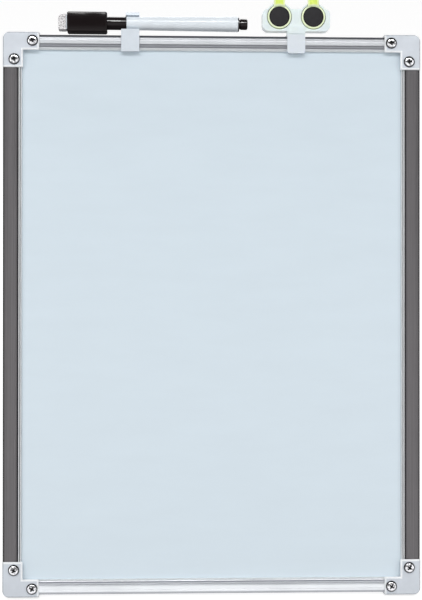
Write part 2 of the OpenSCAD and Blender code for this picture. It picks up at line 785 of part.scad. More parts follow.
module eraser_felt() {
    felt_r = 2.4;
    felt_d = block_d - 2 * block_r;
    color("lightgray") on_desk()
        translate([barrel_x - pen_gap - neck_l - block_l - felt_t, 0, 0]) intersection() {
            slab(pen_y - felt_d / 2, pen_y + felt_d / 2)
                translate([0, pen_z - felt_h / 2]) rounded_box(felt_t + felt_r, felt_h, felt_r);
            translate([0, pen_y - felt_d / 2, pen_z - felt_h / 2]) cube([felt_t, felt_d, felt_h]);
        }
}

// ---- magnet holder ----

// Outline of the tray without its cups, drawn in by e
module tray_outline(e) {
    translate([-tray_w / 2 + e, board_h + tray_over + e])
        rounded_box(tray_w - 2 * e, tray_h - 2 * e, tray_r - e);
}

module at_cups() for (side = [-1, 1]) translate([side * cup_pitch / 2, 0, cup_z]) children();

module magnet_holder() {
    low = board_h + tray_over;
    stem_cut = 1.1;
    tray_rear = plate_front + tray_d;
    color([0.88, 0.94, 0.93]) on_desk() translate([holder_x, 0, 0]) difference() {
        union() {
            difference() {
                slab(plate_front, tray_rear) tray_outline(0);
                slab(plate_front + tray_wall, tray_rear + cut) tray_outline(tray_wall);
            }
            at_cups() translate([0, plate_front, 0]) to_rear() cylinder(r = cup_r, h = tray_d);
            // Stem in front of the rail, its lower corners cut off
            slab(plate_front, -slide_fit) polygon([
                [-stem_w / 2, low + 1], [-stem_w / 2, board_h - stem_drop + stem_cut],
                [-stem_w / 2 + stem_cut, board_h - stem_drop], [stem_w / 2 - stem_cut, board_h - stem_drop],
                [stem_w / 2, board_h - stem_drop + stem_cut], [stem_w / 2, low + 1]
            ]);
            translate([stem_cut - stem_w / 2, 0, 0]) along_x(stem_w - 2 * stem_cut) lip_section(stem_drop);
            slab(plate_front - pad_t, plate_front)
                translate([-pad_w / 2, low - pad_drop]) square([pad_w, pad_h]);
            translate([-stem_w / 2, 0, 0]) along_x(stem_w) saddle_section(0);
            translate([-stem_w / 2, plate_front, web_low + web_t / 2])
                cube([stem_w, tray_d, tray_over - slide_fit + tray_wall - web_t / 2]);
        }
        at_cups() {
            translate([0, plate_front - cut, 0]) to_rear()
                cylinder(r = grip_r + cup_fit, h = grip_rear + floor_fit - plate_front + cut);
            // Notch for the pull tab
            translate([-tab_w / 2 - cup_fit, plate_front - cut, tab_low])
                cube([tab_w + 2 * cup_fit, grip_front + tab_t + floor_fit - plate_front + cut, cup_r]);
        }
    }
}

// ---- magnets ----

module magnet_grip(side) {
    edge = 1;
    front_edge = 0.3;
    color([0.84, 0.92, 0.5]) on_desk() translate([holder_x + side * cup_pitch / 2, 0, cup_z]) difference() {
        union() {
            translate([0, grip_front, 0]) to_rear() rotate_extrude() polygon([
                [0, 0], [grip_r - front_edge, 0], [grip_r, front_edge],
                [grip_r, grip_t - edge], [grip_r - edge, grip_t], [0, grip_t]
            ]);
            slab(grip_front, grip_front + tab_t) {
                translate([-tab_w / 2, tab_low]) square([tab_w, tab_reach - tab_low - tab_w / 4]);
                translate([-tab_w / 2, tab_low]) rounded_box(tab_w, tab_reach - tab_low, tab_w / 4);
            }
        }
        translate([0, grip_front - cut, 0]) to_rear()
            cylinder(r = disc_r + push_fit, h = disc_t - disc_proud + cut);
    }
}

module magnet_disc(side)
    color([0.2, 0.2, 0.21]) on_desk()
        translate([holder_x + side * cup_pitch / 2, grip_front - disc_proud, cup_z]) to_rear()
            cylinder(r = disc_r, h = disc_t - seat_fit);

module left_magnet_grip() magnet_grip(-1);
module left_magnet_disc() magnet_disc(-1);
module right_magnet_grip() magnet_grip(1);
module right_magnet_disc() magnet_disc(1);

top_rail();
bottom_rail();
left_rail();
right_rail();
top_left_cap();
top_right_cap();
bottom_left_cap();
bottom_right_cap();
corner_screws();
writing_sheet();
core_panel();
backing_sheet();
top_bead();
bottom_bead();
left_bead();
right_bead();
easel_bracket();
bracket_screws();
hinge_pin();
easel_leg();
leg_foot_pad();
marker_clip();
marker_barrel();
marker_end_plug();
nib_holder();
marker_nib();
ink_reservoir();
marker_cap();
eraser_felt();
magnet_holder();
left_magnet_grip();
left_magnet_disc();
right_magnet_grip();
right_magnet_disc();
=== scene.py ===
"""Looks of a magnetic whiteboard on a fold-out easel leg, with a marker and two magnets on its top rail."""

import math
from collections import namedtuple

import bmesh
import bpy
from bpy.props import FloatProperty, FloatVectorProperty, PointerProperty
from bpy.types import Operator, Panel, PropertyGroup
from mathutils import Matrix, Vector, noise


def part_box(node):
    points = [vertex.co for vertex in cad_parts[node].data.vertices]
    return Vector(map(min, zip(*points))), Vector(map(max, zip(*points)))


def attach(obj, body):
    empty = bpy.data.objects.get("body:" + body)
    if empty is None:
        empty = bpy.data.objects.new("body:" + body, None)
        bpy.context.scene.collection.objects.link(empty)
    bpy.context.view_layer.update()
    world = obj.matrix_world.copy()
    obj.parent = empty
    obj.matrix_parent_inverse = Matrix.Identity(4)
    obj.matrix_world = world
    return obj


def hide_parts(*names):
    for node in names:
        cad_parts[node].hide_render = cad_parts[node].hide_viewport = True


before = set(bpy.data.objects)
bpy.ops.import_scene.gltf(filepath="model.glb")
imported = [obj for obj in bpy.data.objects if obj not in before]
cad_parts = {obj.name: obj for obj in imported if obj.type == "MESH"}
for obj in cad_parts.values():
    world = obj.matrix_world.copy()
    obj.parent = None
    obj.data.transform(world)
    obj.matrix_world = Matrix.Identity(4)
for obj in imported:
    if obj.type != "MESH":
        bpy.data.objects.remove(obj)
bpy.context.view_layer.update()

bl_info = {
    "name": "Easel Board",
    "version": (1, 0, 0),
    "blender": (4, 5, 0),
    "location": "View3D > Sidebar > Easel Board",
    "description": "Finishes the pieces of a magnetic whiteboard on a fold-out easel leg",
    "category": "Object",
}

MM = 0.001
BORE_FIT = 0.05 * MM  # gap between a round piece and its bore
MAGNET_EDGE = 0.3 * MM  # rounding of the front of grips and discs


# ---- settings ----


def length(name, millimetres, description):
    """A size, given in millimetres and kept in metres."""
    return FloatProperty(
        name=name, default=millimetres * MM, description=description, subtype="DISTANCE",
        unit="LENGTH", min=0.0, precision=5,
    )


def colour(name, red, green, blue, description):
    """A colour, given as 0 to 255 on screen and kept as linear light."""
    screen = (red / 255, green / 255, blue / 255)
    linear = [c / 12.92 if c <= 0.04045 else ((c + 0.055) / 1.055) ** 2.4 for c in screen]
    return FloatVectorProperty(
        name=name, default=linear, description=description, subtype="COLOR", size=3, min=0.0, max=1.0
    )


def power(name, watts, description):
    """The power of a lamp."""
    return FloatProperty(name=name, default=watts, description=description, unit="POWER")


class BoardSizes(PropertyGroup):
    """Sizes of the board that its pieces are placed from."""

    lean: FloatProperty(
        name="Lean", default=math.radians(15), description="Angle that the board leans back",
        subtype="ANGLE", unit="ROTATION",
    )
    height: length("Height", 401, "Height of the frame over its rails")
    sheet_depth: length("Sheet depth", 2.85, "Depth of the writing sheet's middle below the rails' crest")
    edge: length("Edge", 0.25, "Rounding of the moulded edges")
    # Painted highlight along the caps' inner edges and painted shade along their outer edges, of this width
    cap_line: length("Cap edge line", 1.1, "Width of the polished edges of the corner caps")
    cap_over: length("Cap overlap", 1.6, "Reach of the corner caps beyond the top and bottom rails")
    cap_long: length("Long arm", 25.9, "Reach of the caps' arms on the top and bottom rails from the side")
    cap_tall: length("Tall arm", 25.3, "Reach of the caps' arms on the side rails from the top or bottom")
    cap_side: length("Cap side width", 14.4, "Width of the arms on the side rails")
    cap_cross: length("Cap cross width", 12.8, "Width of the arms on the top and bottom rails")
    head_radius: length("Screw head radius", 4.05, "Radius of the heads of the corner screws")
    head_height: length("Screw head height", 1.9, "Height of the heads of the corner screws")
    shank_radius: length("Screw shank radius", 1.45, "Radius of the shanks of the corner screws")
    recess_depth: length("Recess depth", 1.3, "Depth of the cross recess in the corner screws")


class MarkerSizes(PropertyGroup):
    """Sizes of the marker, its cap and its eraser."""

    barrel_length: length("Barrel length", 80.4, "Length of the barrel")
    barrel_near: length("Barrel radius at the cap", 4.95, "Radius of the barrel beside the cap")
    barrel_far: length("Barrel radius at the plug", 5.65, "Radius of the barrel at its far end")
    bore: length("Bore", 4.1, "Radius of the bore of the barrel")
    plug_radius: length("Plug radius", 4.05, "Radius of the end plug")
    plug_length: length("Plug length", 6.1, "Length of the end plug beyond its collar")
    collar_radius: length("Collar radius", 5.3, "Radius of the collar of the end plug")
    spout_radius: length("Spout radius", 3.2, "Radius of the spout that holds the nib")
    spout_length: length("Spout length", 7, "Length of the spout")
    nib_radius: length("Nib radius", 1.9, "Radius of the nib")
    nib_length: length("Nib length", 5, "Reach of the nib beyond the spout")
    neck_length: length("Neck length", 13.7, "Length of the neck of the cap")
    neck_radius: length("Neck radius", 4.85, "Radius of the neck of the cap")
    block_length: length("Block length", 28.8, "Length of the eraser block")
    block_height: length("Block height", 14.5, "Height of the eraser block")
    block_depth: length("Block depth", 13.6, "Depth of the eraser block")
    block_edge: length("Block edge", 1.3, "Rounding of the eraser block")
    felt_height: length("Felt height", 11.2, "Height of the eraser felt")
    felt_edge: length("Felt edge", 3.4, "Rounding of the outer upper corner of the felt")


class MagnetSizes(PropertyGroup):
    """Sizes of the two magnets."""

    grip_radius: length("Grip radius", 8.5, "Radius of the grip")
    grip_depth: length("Grip depth", 7.2, "Depth of the grip from front to rear")
    disc_radius: length("Disc radius", 7.3, "Radius of the ferrite disc")
    disc_depth: length("Disc depth", 2.9, "Thickness of the ferrite disc")
    disc_proud: length("Disc proud", 0.2, "Height of the disc in front of its grip")
    tab_width: length("Tab width", 8.1, "Width of the pull tab")
    tab_start: length("Tab start", 6.5, "Start of the pull tab from the middle of the magnet")
    tab_reach: length("Tab reach", 16.5, "Reach of the pull tab from the middle of the magnet")
    tab_depth: length("Tab depth", 2, "Thickness of the pull tab")


class FinishColours(PropertyGroup):
    """Colours of the finishes, as the eye sees them in even light."""

    # silver is the painted highlight on the rails' crest, and silver_shade the painted shade on their other
    # bands
    silver: colour("Silver", 221, 224, 228, "Bright crest of the top and bottom rails")
    silver_shade: colour("Silver shade", 72, 74, 82, "Turned-away and fluted bands of the same rails")
    bead: colour("Bead", 246, 251, 255, "Ridges of the beads round the writing sheet")
    # Painted shade in the valleys between the ridges of the side beads
    bead_shade: colour("Bead shade", 62, 67, 80, "Valleys of the beads round the writing sheet")
    chrome: colour("Chrome", 232, 232, 235, "Faces of the screw heads")
    # Painted dark reflection on the steep rims of the screw heads, also mixed in patches over their faces
    chrome_rim: colour("Chrome rim", 70, 71, 74, "Steep rims of the screw heads")
    # Painted shade in the recesses of the screw heads
    recess: colour("Recess", 30, 30, 32, "Recesses of the screw heads")
    # The side rails' colours are a darker copy of the rails' aluminium: painted shade, standing in for the
    # dark room that their upright lines mirror
    shaded_side_rail: colour("Grey rail", 119, 116, 118, "Ridges of the side rails")
    shaded_side_rail_hollow: colour("Grey rail shade", 84, 82, 84, "Hollows of the side rails")
    enamel: colour("Enamel", 214, 227, 236, "Writing sheet")
    cap: colour("Cap", 211, 217, 225, "Corner caps")
    clip: colour("Clip", 216, 224, 232, "Marker clip")
    barrel: colour("Barrel", 228, 235, 241, "Marker barrel")
    black: colour("Black", 24, 18, 19, "Marker cap and end plug")
    felt: colour("Felt", 250, 248, 249, "Eraser felt")
    felt_shade: colour("Felt shade", 146, 144, 146, "Hollows of the eraser felt")
    holder: colour("Holder", 230, 241, 242, "Magnet holder")
    stem: colour("Holder stem", 222, 229, 236, "Stem of the magnet holder, over the rail")
    lime: colour("Lime", 224, 243, 118, "Pull tabs of the magnets")
    lime_rim: colour("Lime rim", 242, 255, 210, "Grips round the magnets")
    ferrite: colour("Ferrite", 34, 33, 36, "Magnet discs")
    zinc: colour("Zinc", 190, 194, 198, "Backing sheet and easel bracket")
    leg: colour("Leg", 206, 210, 215, "Easel leg")
    rubber: colour("Rubber", 48, 48, 50, "Foot pad")
    fibreboard: colour("Fibreboard", 168, 140, 104, "Core of the board")


class StudioSettings(PropertyGroup):
    """Camera and light."""

    place: FloatVectorProperty(
        name="Camera place", default=(-0.0519, -1.08814, 0.49044), description="Place of the camera",
        subtype="TRANSLATION", unit="LENGTH", size=3, precision=5,
    )
    turn: FloatVectorProperty(
        name="Camera turn", default=[math.radians(a) for a in (75.2809, -0.7001, -2.518)],
        description="Turn of the camera", subtype="EULER", unit="ROTATION", size=3,
    )
    lens: FloatProperty(
        name="Lens", default=92.88, description="Focal length over a frame 36 mm high", unit="CAMERA"
    )
    key: power("Key", 17.0, "Power of the long lamp in front and above")
    front: power("Front", 14.0, "Power of each soft lamp beside the camera")
    fill: power("Fill", 3.5, "Power of the wide lamp behind the camera")
    side: power("Side", 4.5, "Power of the lamp on each side")
    rear: power("Rear", 9.0, "Power of the long lamp behind")
    sky: FloatProperty(name="Sky", default=0.37, description="Even light from all round", min=0.0)


# ---- places ----


def middle(node):
    """The middle of a CAD node, which for a round or square piece is a point on its axis."""
    low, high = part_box(node)
    return (low + high) / 2


def leaned(board):
    """Turn from the upright board to the board as it leans on the desk."""
    return Matrix.Rotation(-board.lean, 4, "X")


def board_place(board):
    """Matrix from the upright board, its origin below the crest of the rails, to the desk."""
    turn = leaned(board)
    origin = middle("writing_sheet") - turn @ Vector((0, board.sheet_depth, board.height / 2))
    return Matrix.Translation(origin) @ turn


def pen_place(board):
    """Matrix from the marker, its axis along x from the cap end of the barrel, to the desk."""
    axis = middle("marker_barrel")
    axis.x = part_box("marker_barrel")[0].x
    return Matrix.Translation(axis) @ leaned(board)


# ---- shapes ----


def lathe(points, steps=64):
    """A closed round shape about the x axis, from its half outline as (along, radius) pairs."""
    shape = bmesh.new()
    verts = [shape.verts.new((along, radius, 0)) for along, radius in points]
    edges = [shape.edges.new(pair) for pair in zip(verts, verts[1:])]
    bmesh.ops.spin(
        shape, geom=verts + edges, cent=(0, 0, 0), axis=(1, 0, 0), dvec=(0, 0, 0),
        angle=math.tau, steps=steps, use_merge=True, use_duplicate=False,
    )
    bmesh.ops.remove_doubles(shape, verts=shape.verts, dist=1e-7)
    bmesh.ops.recalc_face_normals(shape, faces=shape.faces)
    return shape


def plate(points, depth):
    """A flat plate from its outline as (x, z) pairs, from y = 0 to the rear."""
    shape = bmesh.new()
    face = shape.faces.new([shape.verts.new((x, 0, z)) for x, z in points])
    grown = bmesh.ops.extrude_face_region(shape, geom=[face])["geom"]
    far = [v for v in grown if isinstance(v, bmesh.types.BMVert)]
    bmesh.ops.translate(shape, vec=(0, depth, 0), verts=far)
    bmesh.ops.recalc_face_normals(shape, faces=shape.faces)
    return shape


def block(size, centre):
    """A box of that size about a point."""
    shape = bmesh.new()
    bmesh.ops.create_cube(shape, size=1.0)
    bmesh.ops.scale(shape, vec=size, verts=shape.verts)
    bmesh.ops.translate(shape, vec=centre, verts=shape.verts)
    return shape


def rounded(shape, width, segments, wanted=lambda edge: True, sharp=30):
    """Rounds the edges that turn by more than that many degrees."""
    edges = [
        e for e in shape.edges
        if len(e.link_faces) == 2 and e.calc_face_angle() > math.radians(sharp) and wanted(e)
    ]
    bmesh.ops.bevel(
        shape, geom=edges, offset=width, offset_type="OFFSET", segments=segments, profile=0.5,
        affect="EDGES", clamp_overlap=True, material=-1,
    )
    return shape


def joined(*shapes):
    """Several shapes as one."""
    whole = shapes[0]
    for other in shapes[1:]:
        part = bpy.data.meshes.new("part")
        other.to_mesh(part)
        other.free()
        whole.from_mesh(part)
        bpy.data.meshes.remove(part)
    return whole


def placed(shape, matrix):
    """The shape moved by a matrix."""
    bmesh.ops.transform(shape, matrix=matrix, verts=shape.verts)
    return shape


def merged_copy(node):
    """The shape of a CAD node, merged and with its flat faces made whole."""
    shape = bmesh.new()
    shape.from_mesh(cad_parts[node].data)
    bmesh.ops.remove_doubles(shape, verts=shape.verts, dist=2e-6)
    flat = math.radians(0.5)
    bmesh.ops.dissolve_limit(shape, angle_limit=flat, verts=shape.verts, edges=shape.edges)
    return shape


def cut_out(shape, cutter):
    """The shape with the cutter taken out of it."""
    objects = []
    for solid in (shape, cutter):
        mesh = bpy.data.meshes.new("solid")
        solid.to_mesh(mesh)
        solid.free()
        objects.append(bpy.data.objects.new("solid", mesh))
        bpy.context.scene.collection.objects.link(objects[-1])
    body, tool = objects
    cutting = body.modifiers.new("cut", "BOOLEAN")
    cutting.operation = "DIFFERENCE"
    cutting.solver = "EXACT"
    cutting.object = tool
    bpy.context.view_layer.update()
    result = bmesh.new()
    result.from_object(body, bpy.context.evaluated_depsgraph_get())
    for solid in objects:
        mesh = solid.data
        bpy.data.objects.remove(solid)
        bpy.data.meshes.remove(mesh)
    return result


def finish_piece(shape, name, finish, body, nodes, edge=0.0, segments=3, sharp=35, second=None):
    """Makes an object of the shape, gives it its finish, and lets it stand for its CAD nodes."""
    mesh = bpy.data.meshes.new(name)
    shape.to_mesh(mesh)
    shape.free()
    mesh.materials.append(finish)
    if second:
        mesh.materials.append(second)
    mesh.polygons.foreach_set("use_smooth", [True] * len(mesh.polygons))
    mesh.set_sharp_from_angle(angle=math.radians(sharp))
    piece = bpy.data.objects.new(name, mesh)
    bpy.context.scene.collection.objects.link(piece)
    if edge:
        bevel = piece.modifiers.new("edges", "BEVEL")
        bevel.width = edge
        bevel.segments = segments
        bevel.limit_method = "ANGLE"
        bevel.angle_limit = math.radians(sharp)
        bevel.harden_normals = True
        bevel.use_clamp_overlap = True
    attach(piece, body)
    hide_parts(*nodes)
    return piece


def coat(node, finish):
    """Gives a CAD node its finish."""
    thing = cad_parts[node]
    if not thing.material_slots:
        thing.data.materials.append(finish)
    for slot in thing.material_slots:
        slot.material = finish


# ---- finishes ----


def add_node(tree, kind, inputs=None, **settings):
    """Adds a node. An input that is given as a socket is linked, and any other is set."""
    made = tree.nodes.new("ShaderNode" + kind)
    for setting, value in settings.items():
        setattr(made, setting, value)
    for socket, value in (inputs or {}).items():
        if isinstance(value, bpy.types.NodeSocket):
            tree.links.new(value, made.inputs[socket])
        else:
            made.inputs[socket].default_value = value
    return made


def calculate(tree, operation, *values):
    """The result of a math node on those values."""
    return add_node(tree, "Math", dict(enumerate(values)), operation=operation).outputs[0]


def fill_ramp(ramp, steps):
    """Gives a colour ramp its greys, as (position, value) pairs."""
    while len(ramp.elements) < len(steps):
        ramp.elements.new(0.5)
    for element, (position, value) in zip(ramp.elements, steps):
        element.position = position
        element.color = (value, value, value, 1)


def shaded(tint, part):
    """A colour made darker, or lighter where part is over 1."""
    return tuple(min(1.0, c * part) for c in tint)


class Finish:
    """A node material: one shader, and short ways to feed it."""

    def __init__(self, name, board, **constants):
        self.material = bpy.data.materials.new(name)
        self.material.use_nodes = True
        self.tree = self.material.node_tree
        self.shader = self.tree.nodes["Principled BSDF"]
        self.board = board
        for socket, value in constants.items():
            self.shader.inputs[socket.replace("_", " ")].default_value = value

    def node(self, kind, inputs=None, **settings):
        return add_node(self.tree, kind, inputs, **settings)

    def feed(self, socket, source):
        self.tree.links.new(source, self.shader.inputs[socket])

    def coordinates(self, size=(1, 1, 1)):
        """Coordinates along the board, in units of that many metres."""
        return self.node(
            "Mapping",
            {
                "Vector": self.node("TexCoord").outputs["Object"],
                "Location": board_place(self.board).translation,
                "Rotation": (-self.board.lean, 0, 0),
                "Scale": size,
            },
            vector_type="TEXTURE",
        ).outputs["Vector"]

    def axes(self):
        """The coordinates X, Y and Z along the board, in metres."""
        return self.node("SeparateXYZ", {"Vector": self.coordinates()}).outputs

    def facing(self, direction):
        """How squarely the surface faces a direction, from -1 to 1."""
        normal = self.node("TexCoord").outputs["Normal"]
        product = self.node("VectorMath", {0: normal, 1: direction}, operation="DOT_PRODUCT")
        return product.outputs["Value"]

    def grain(self, size, detail=3, roughness=0.55):
        """Noise whose spots have that size."""
        size = size if isinstance(size, tuple) else (size, size, size)
        return self.node(
            "TexNoise",
            {"Vector": self.coordinates(size), "Scale": 1.0, "Detail": detail, "Roughness": roughness},
        ).outputs["Fac"]

    def cells(self, size):
        """A pattern of cells of that size."""
        vector = self.coordinates((size, size, size))
        return self.node("TexVoronoi", {"Vector": vector, "Scale": 1.0}).outputs

    def spread(self, value, low, high, start=0.3, end=0.7):
        """Maps a value between start and end to low and high."""
        return self.node(
            "MapRange",
            {"Value": value, "From Min": start, "From Max": end, "To Min": low, "To Max": high},
        ).outputs["Result"]

    def fade(self, value, start, end):
        """0 where a value is at the start or before it, and 1 where it is at the end or beyond."""
        return self.spread(value, 0.0, 1.0, start, end)

    def calc(self, operation, *values):
        """The result of a math node on those values."""
        return calculate(self.tree, operation, *values)

    def apart(self, value, middle):
        """How far a value is from another, either way."""
        return self.calc("ABSOLUTE", self.calc("SUBTRACT", value, middle))

    def blend(self, factor, first, second):
        """Mixes two colours by a factor."""
        first, second = (c if isinstance(c, bpy.types.NodeSocket) else (*c, 1) for c in (first, second))
        # The colours of this node are its sockets 6 and 7, and their mix is its output 2
        mix = self.node("Mix", {"Factor": factor, 6: first, 7: second}, data_type="RGBA")
        return mix.outputs[2]

    def mottled(self, pattern, base, dark, light):
        """A colour that a pattern makes darker and lighter, as parts of the colour."""
        return self.blend(self.spread(pattern, 0.0, 1.0), shaded(base, dark), shaded(base, light))

    def made(self, tint, roughness, relief, depth, strength):
        """The material with that colour and roughness, raised by the relief times a depth in metres."""
        self.feed("Base Color", tint)
        self.feed("Roughness", roughness)
        raised = self.node("Bump", {"Height": relief, "Strength": strength, "Distance": depth})
        self.feed("Normal", raised.outputs["Normal"])
        return self.material


# Painted highlight and painted shade on the top and bottom rails, standing in for the lamps and room that
# they mirror: brightness from the outer edge inwards, as (part of the banded width, value) pairs
TOP_RAIL_PAINTED_BANDS = (
    (0.0, 0.08), (0.14, 0.1), (0.19, 0.85), (0.3, 0.75), (0.42, 0.82), (0.5, 1.0), (0.63, 1.0), (0.66, 0.02),
    (0.72, 0.36), (0.8, 0.18), (0.88, 0.15), (0.92, 0.95), (0.97, 1.0),
)
BOTTOM_RAIL_PAINTED_BANDS = (
    (0.0, 0.45), (0.14, 0.45), (0.18, 1.0), (0.65, 1.0), (0.68, 0.2), (0.74, 0.45), (0.8, 0.5), (0.85, 0.1),
    (0.89, 0.1), (0.93, 1.0),
)
# Width that the bands are spread over, and depth of the face that has them
BAND_WIDTH, FACE_DEPTH = 10 * MM, 4.2 * MM
# Places on the side rails and beads, aside from the middle of the board, and depth of the beads' ridges
OUTER_LIP, INNER_LIP = 149 * MM, 140.5 * MM
BEAD_START, BEAD_VALLEY, RIDGE_DEPTH = 134.5 * MM, 137.85 * MM, 1.3 * MM


def drawn_aluminium(name, board, bright, dark, bands=()):
    """Anodised extrusion with drawn lines: one across the board has bands of painted highlight and painted
    shade, and one up it has painted shade on its lips.
    """
    finish = Finish(name, board, Metallic=0.6, IOR=1.5)
    line, run = 0.18 * MM, 120 * MM
    lines = finish.grain((run, line, line) if bands else (line, line, run), detail=4, roughness=0.7)
    cloud = finish.grain(30 * MM, detail=2)
    axes = finish.axes()
    if bands:
        half = board.height / 2
        inwards = finish.calc("SUBTRACT", half, finish.apart(axes["Z"], half))
        # Painted highlight and painted shade in bands across the front face of the rail
        crest = finish.node("ValToRGB", {"Fac": finish.calc("DIVIDE", inwards, BAND_WIDTH)})
        fill_ramp(crest.color_ramp, bands)
        front = finish.calc("LESS_THAN", axes["Y"], FACE_DEPTH)
        band = finish.calc("MULTIPLY_ADD", finish.calc("SUBTRACT", crest.outputs["Color"], 0.5), front, 0.5)
        base = finish.blend(finish.calc("MULTIPLY", band, finish.spread(lines, 0.85, 1.0)), dark, bright)
    else:
        # Painted shade along the outer and inner lips of the side rails
        aside = finish.apart(axes["X"], 0.0)
        outer = finish.fade(aside, OUTER_LIP, OUTER_LIP + 0.5 * MM)
        inner = finish.fade(aside, INNER_LIP, INNER_LIP - 0.6 * MM)
        painted_lip_shade = finish.calc("MULTIPLY", finish.calc("MAXIMUM", outer, inner), 0.85)
        base = finish.blend(finish.fade(lines, 0.25, 0.75), dark, bright)
        base = finish.blend(painted_lip_shade, base, shaded(dark, 0.2))
    base = finish.blend(finish.spread(cloud, 0.0, 0.12), base, dark)
    return finish.made(base, finish.spread(lines, 0.3, 0.45), lines, 0.02 * MM, 0.6)


def ridged_bead(board, base, shade):
    """Glossy white strip, which along the side rails has painted shade in the valley between its two ridges.
    """
    finish = Finish(
        "bead_plastic", board, IOR=1.5, Subsurface_Weight=0.7, Subsurface_Radius=(1, 1, 1),
        Subsurface_Scale=1.5 * MM,
    )
    axes = finish.axes()
    fine = finish.grain(0.4 * MM, detail=2)
    aside = finish.apart(axes["X"], 0.0)
    # Painted shade where the side beads lie deep and in a line along the valley between their ridges; the
    # beads across the board stay white
    high = finish.fade(axes["Y"], RIDGE_DEPTH + 0.5 * MM, RIDGE_DEPTH)
    beside = finish.fade(finish.apart(aside, BEAD_VALLEY), 0.2 * MM, 0.32 * MM)
    across = finish.calc("LESS_THAN", aside, BEAD_START)
    lit = finish.calc("MAXIMUM", finish.calc("MINIMUM", high, beside), across)
    return finish.made(finish.blend(lit, shade, base), finish.spread(fine, 0.3, 0.4), fine, 0.006 * MM, 0.4)


def moulded_plastic(
    name, board, base, roughness, pores, depth, polished_top=False, painted_light_above=0.0, **constants
):
    """Moulding with fine pores, in millimetres, and faint clouds. Its top can be coated to shine, and it can
    be made lighter above a height with painted light.
    """
    finish = Finish(name, board, **constants)
    fine = finish.grain(pores * MM, detail=2)
    tint = finish.mottled(finish.grain(9 * MM, detail=3), base, 0.94, 1.02)
    if painted_light_above:
        # Painted light: lighter above that height
        upper = finish.fade(finish.axes()["Z"], painted_light_above, painted_light_above + 4 * MM)
        tint = finish.blend(upper, tint, shaded(base, 1.22))
    rough = finish.spread(fine, roughness - 0.06, roughness + 0.06)
    if polished_top:
        up = finish.facing((0, 0, 1))
        rough = finish.calc("MAXIMUM", rough, finish.spread(up, 0.95, 0.0, -0.3, 0.0))
        finish.feed("Coat Weight", finish.fade(up, 0.3, 0.38))
    return finish.made(tint, rough, fine, depth * MM, 0.5)


def polished_black(name, board, base, pores):
    """Black moulding that shines on top."""
    return moulded_plastic(
        name, board, base, 0.12, pores, 0.003, polished_top=True,
        Specular_IOR_Level=0.2, Coat_IOR=1.9, Coat_Roughness=0.08,
    )


def cap_plastic(board, base):
    """Moulding of the corner caps, with painted highlight along its inner edges and painted shade along its
    outer ones.
    """
    finish = Finish("cap_plastic", board)
    fine = finish.grain(0.35 * MM, detail=2)
    cloud = finish.grain(9 * MM, detail=3)
    patchy = finish.grain(1.5 * MM, detail=2)
    axes = finish.axes()
    half, line = board.height / 2, board.cap_line
    aside = finish.calc("SUBTRACT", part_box("top_right_cap")[1].x, finish.apart(axes["X"], 0.0))
    along = finish.calc("SUBTRACT", half + board.cap_over, finish.apart(axes["Z"], half))

    def beyond(distance, edge):
        return finish.fade(distance, edge - 1.3 * line, edge - line)

    # Painted highlight along the inner edges, broken up by a noise
    ends = finish.calc("MAXIMUM", beyond(aside, board.cap_long), beyond(along, board.cap_tall))
    sides = finish.calc("MINIMUM", beyond(aside, board.cap_side), beyond(along, board.cap_cross))
    inner = finish.calc("MULTIPLY", finish.calc("MAXIMUM", ends, sides), finish.spread(patchy, 0.75, 1.0))
    # Painted shade along the outer edges, broken up by the same noise
    outer = finish.fade(finish.calc("MINIMUM", aside, along), 0.9 * line, 0.5 * line)
    outer = finish.calc("MULTIPLY", outer, finish.spread(patchy, 0.5, 0.9))
    painted_highlight = (0.96, 0.98, 1.0)
    tint = finish.blend(inner, finish.mottled(cloud, base, 0.95, 1.03), painted_highlight)
    tint = finish.blend(outer, tint, shaded(base, 0.6))
    return finish.made(tint, finish.spread(fine, 0.36, 0.48), fine, 0.01 * MM, 0.5)


def glossy_enamel(board, base):
    """Fired enamel on steel: almost flat, with a slow ripple and a clear glassy top."""
    finish = Finish("enamel", board, Coat_Weight=0.35, Coat_Roughness=0.04, IOR=1.5)
    ripple = finish.grain(7 * MM, detail=2)
    wiped = finish.grain((60 * MM, 60 * MM, 14 * MM), detail=4)
    tint = finish.mottled(wiped, base, 0.985, 1.01)
    return finish.made(tint, finish.spread(wiped, 0.16, 0.26), ripple, 0.01 * MM, 0.25)


def chrome(board, bright, rim):
    """Plated steel with fine scratches and dents, with painted dark reflection on the steep rim of a head and
    patches of painted reflection on its face.
    """
    finish = Finish("chrome", board, Metallic=1.0)
    fine = finish.grain(0.25 * MM, detail=3)
    dents_and_painted_reflections = finish.grain(1.3 * MM, detail=2, roughness=0.4)
    front = (0, -math.cos(board.lean), math.sin(board.lean))
    # Painted reflection: dark on the steep rim, bright on the face with dark patches
    flat = finish.fade(finish.calc("ABSOLUTE", finish.facing(front)), 0.8, 0.94)
    face = finish.blend(finish.spread(dents_and_painted_reflections, 0.0, 0.6, 0.5, 0.6), bright, rim)
    relief = finish.calc("MULTIPLY_ADD", fine, 0.03, dents_and_painted_reflections)
    return finish.made(finish.blend(flat, rim, face), finish.spread(fine, 0.08, 0.18), relief, 0.16 * MM, 0.6)


def recess_painted_shade(board, base):
    """Unpolished steel, darkened with painted shade and speckled, at the bottom of a screw's recess."""
    finish = Finish("recess_shaded_steel", board, Metallic=0.7)
    speckle = finish.grain(0.3 * MM, detail=3)
    return finish.made(
        finish.mottled(speckle, base, 0.6, 1.4), finish.spread(speckle, 0.4, 0.6), speckle, 0.01 * MM, 0.5
    )


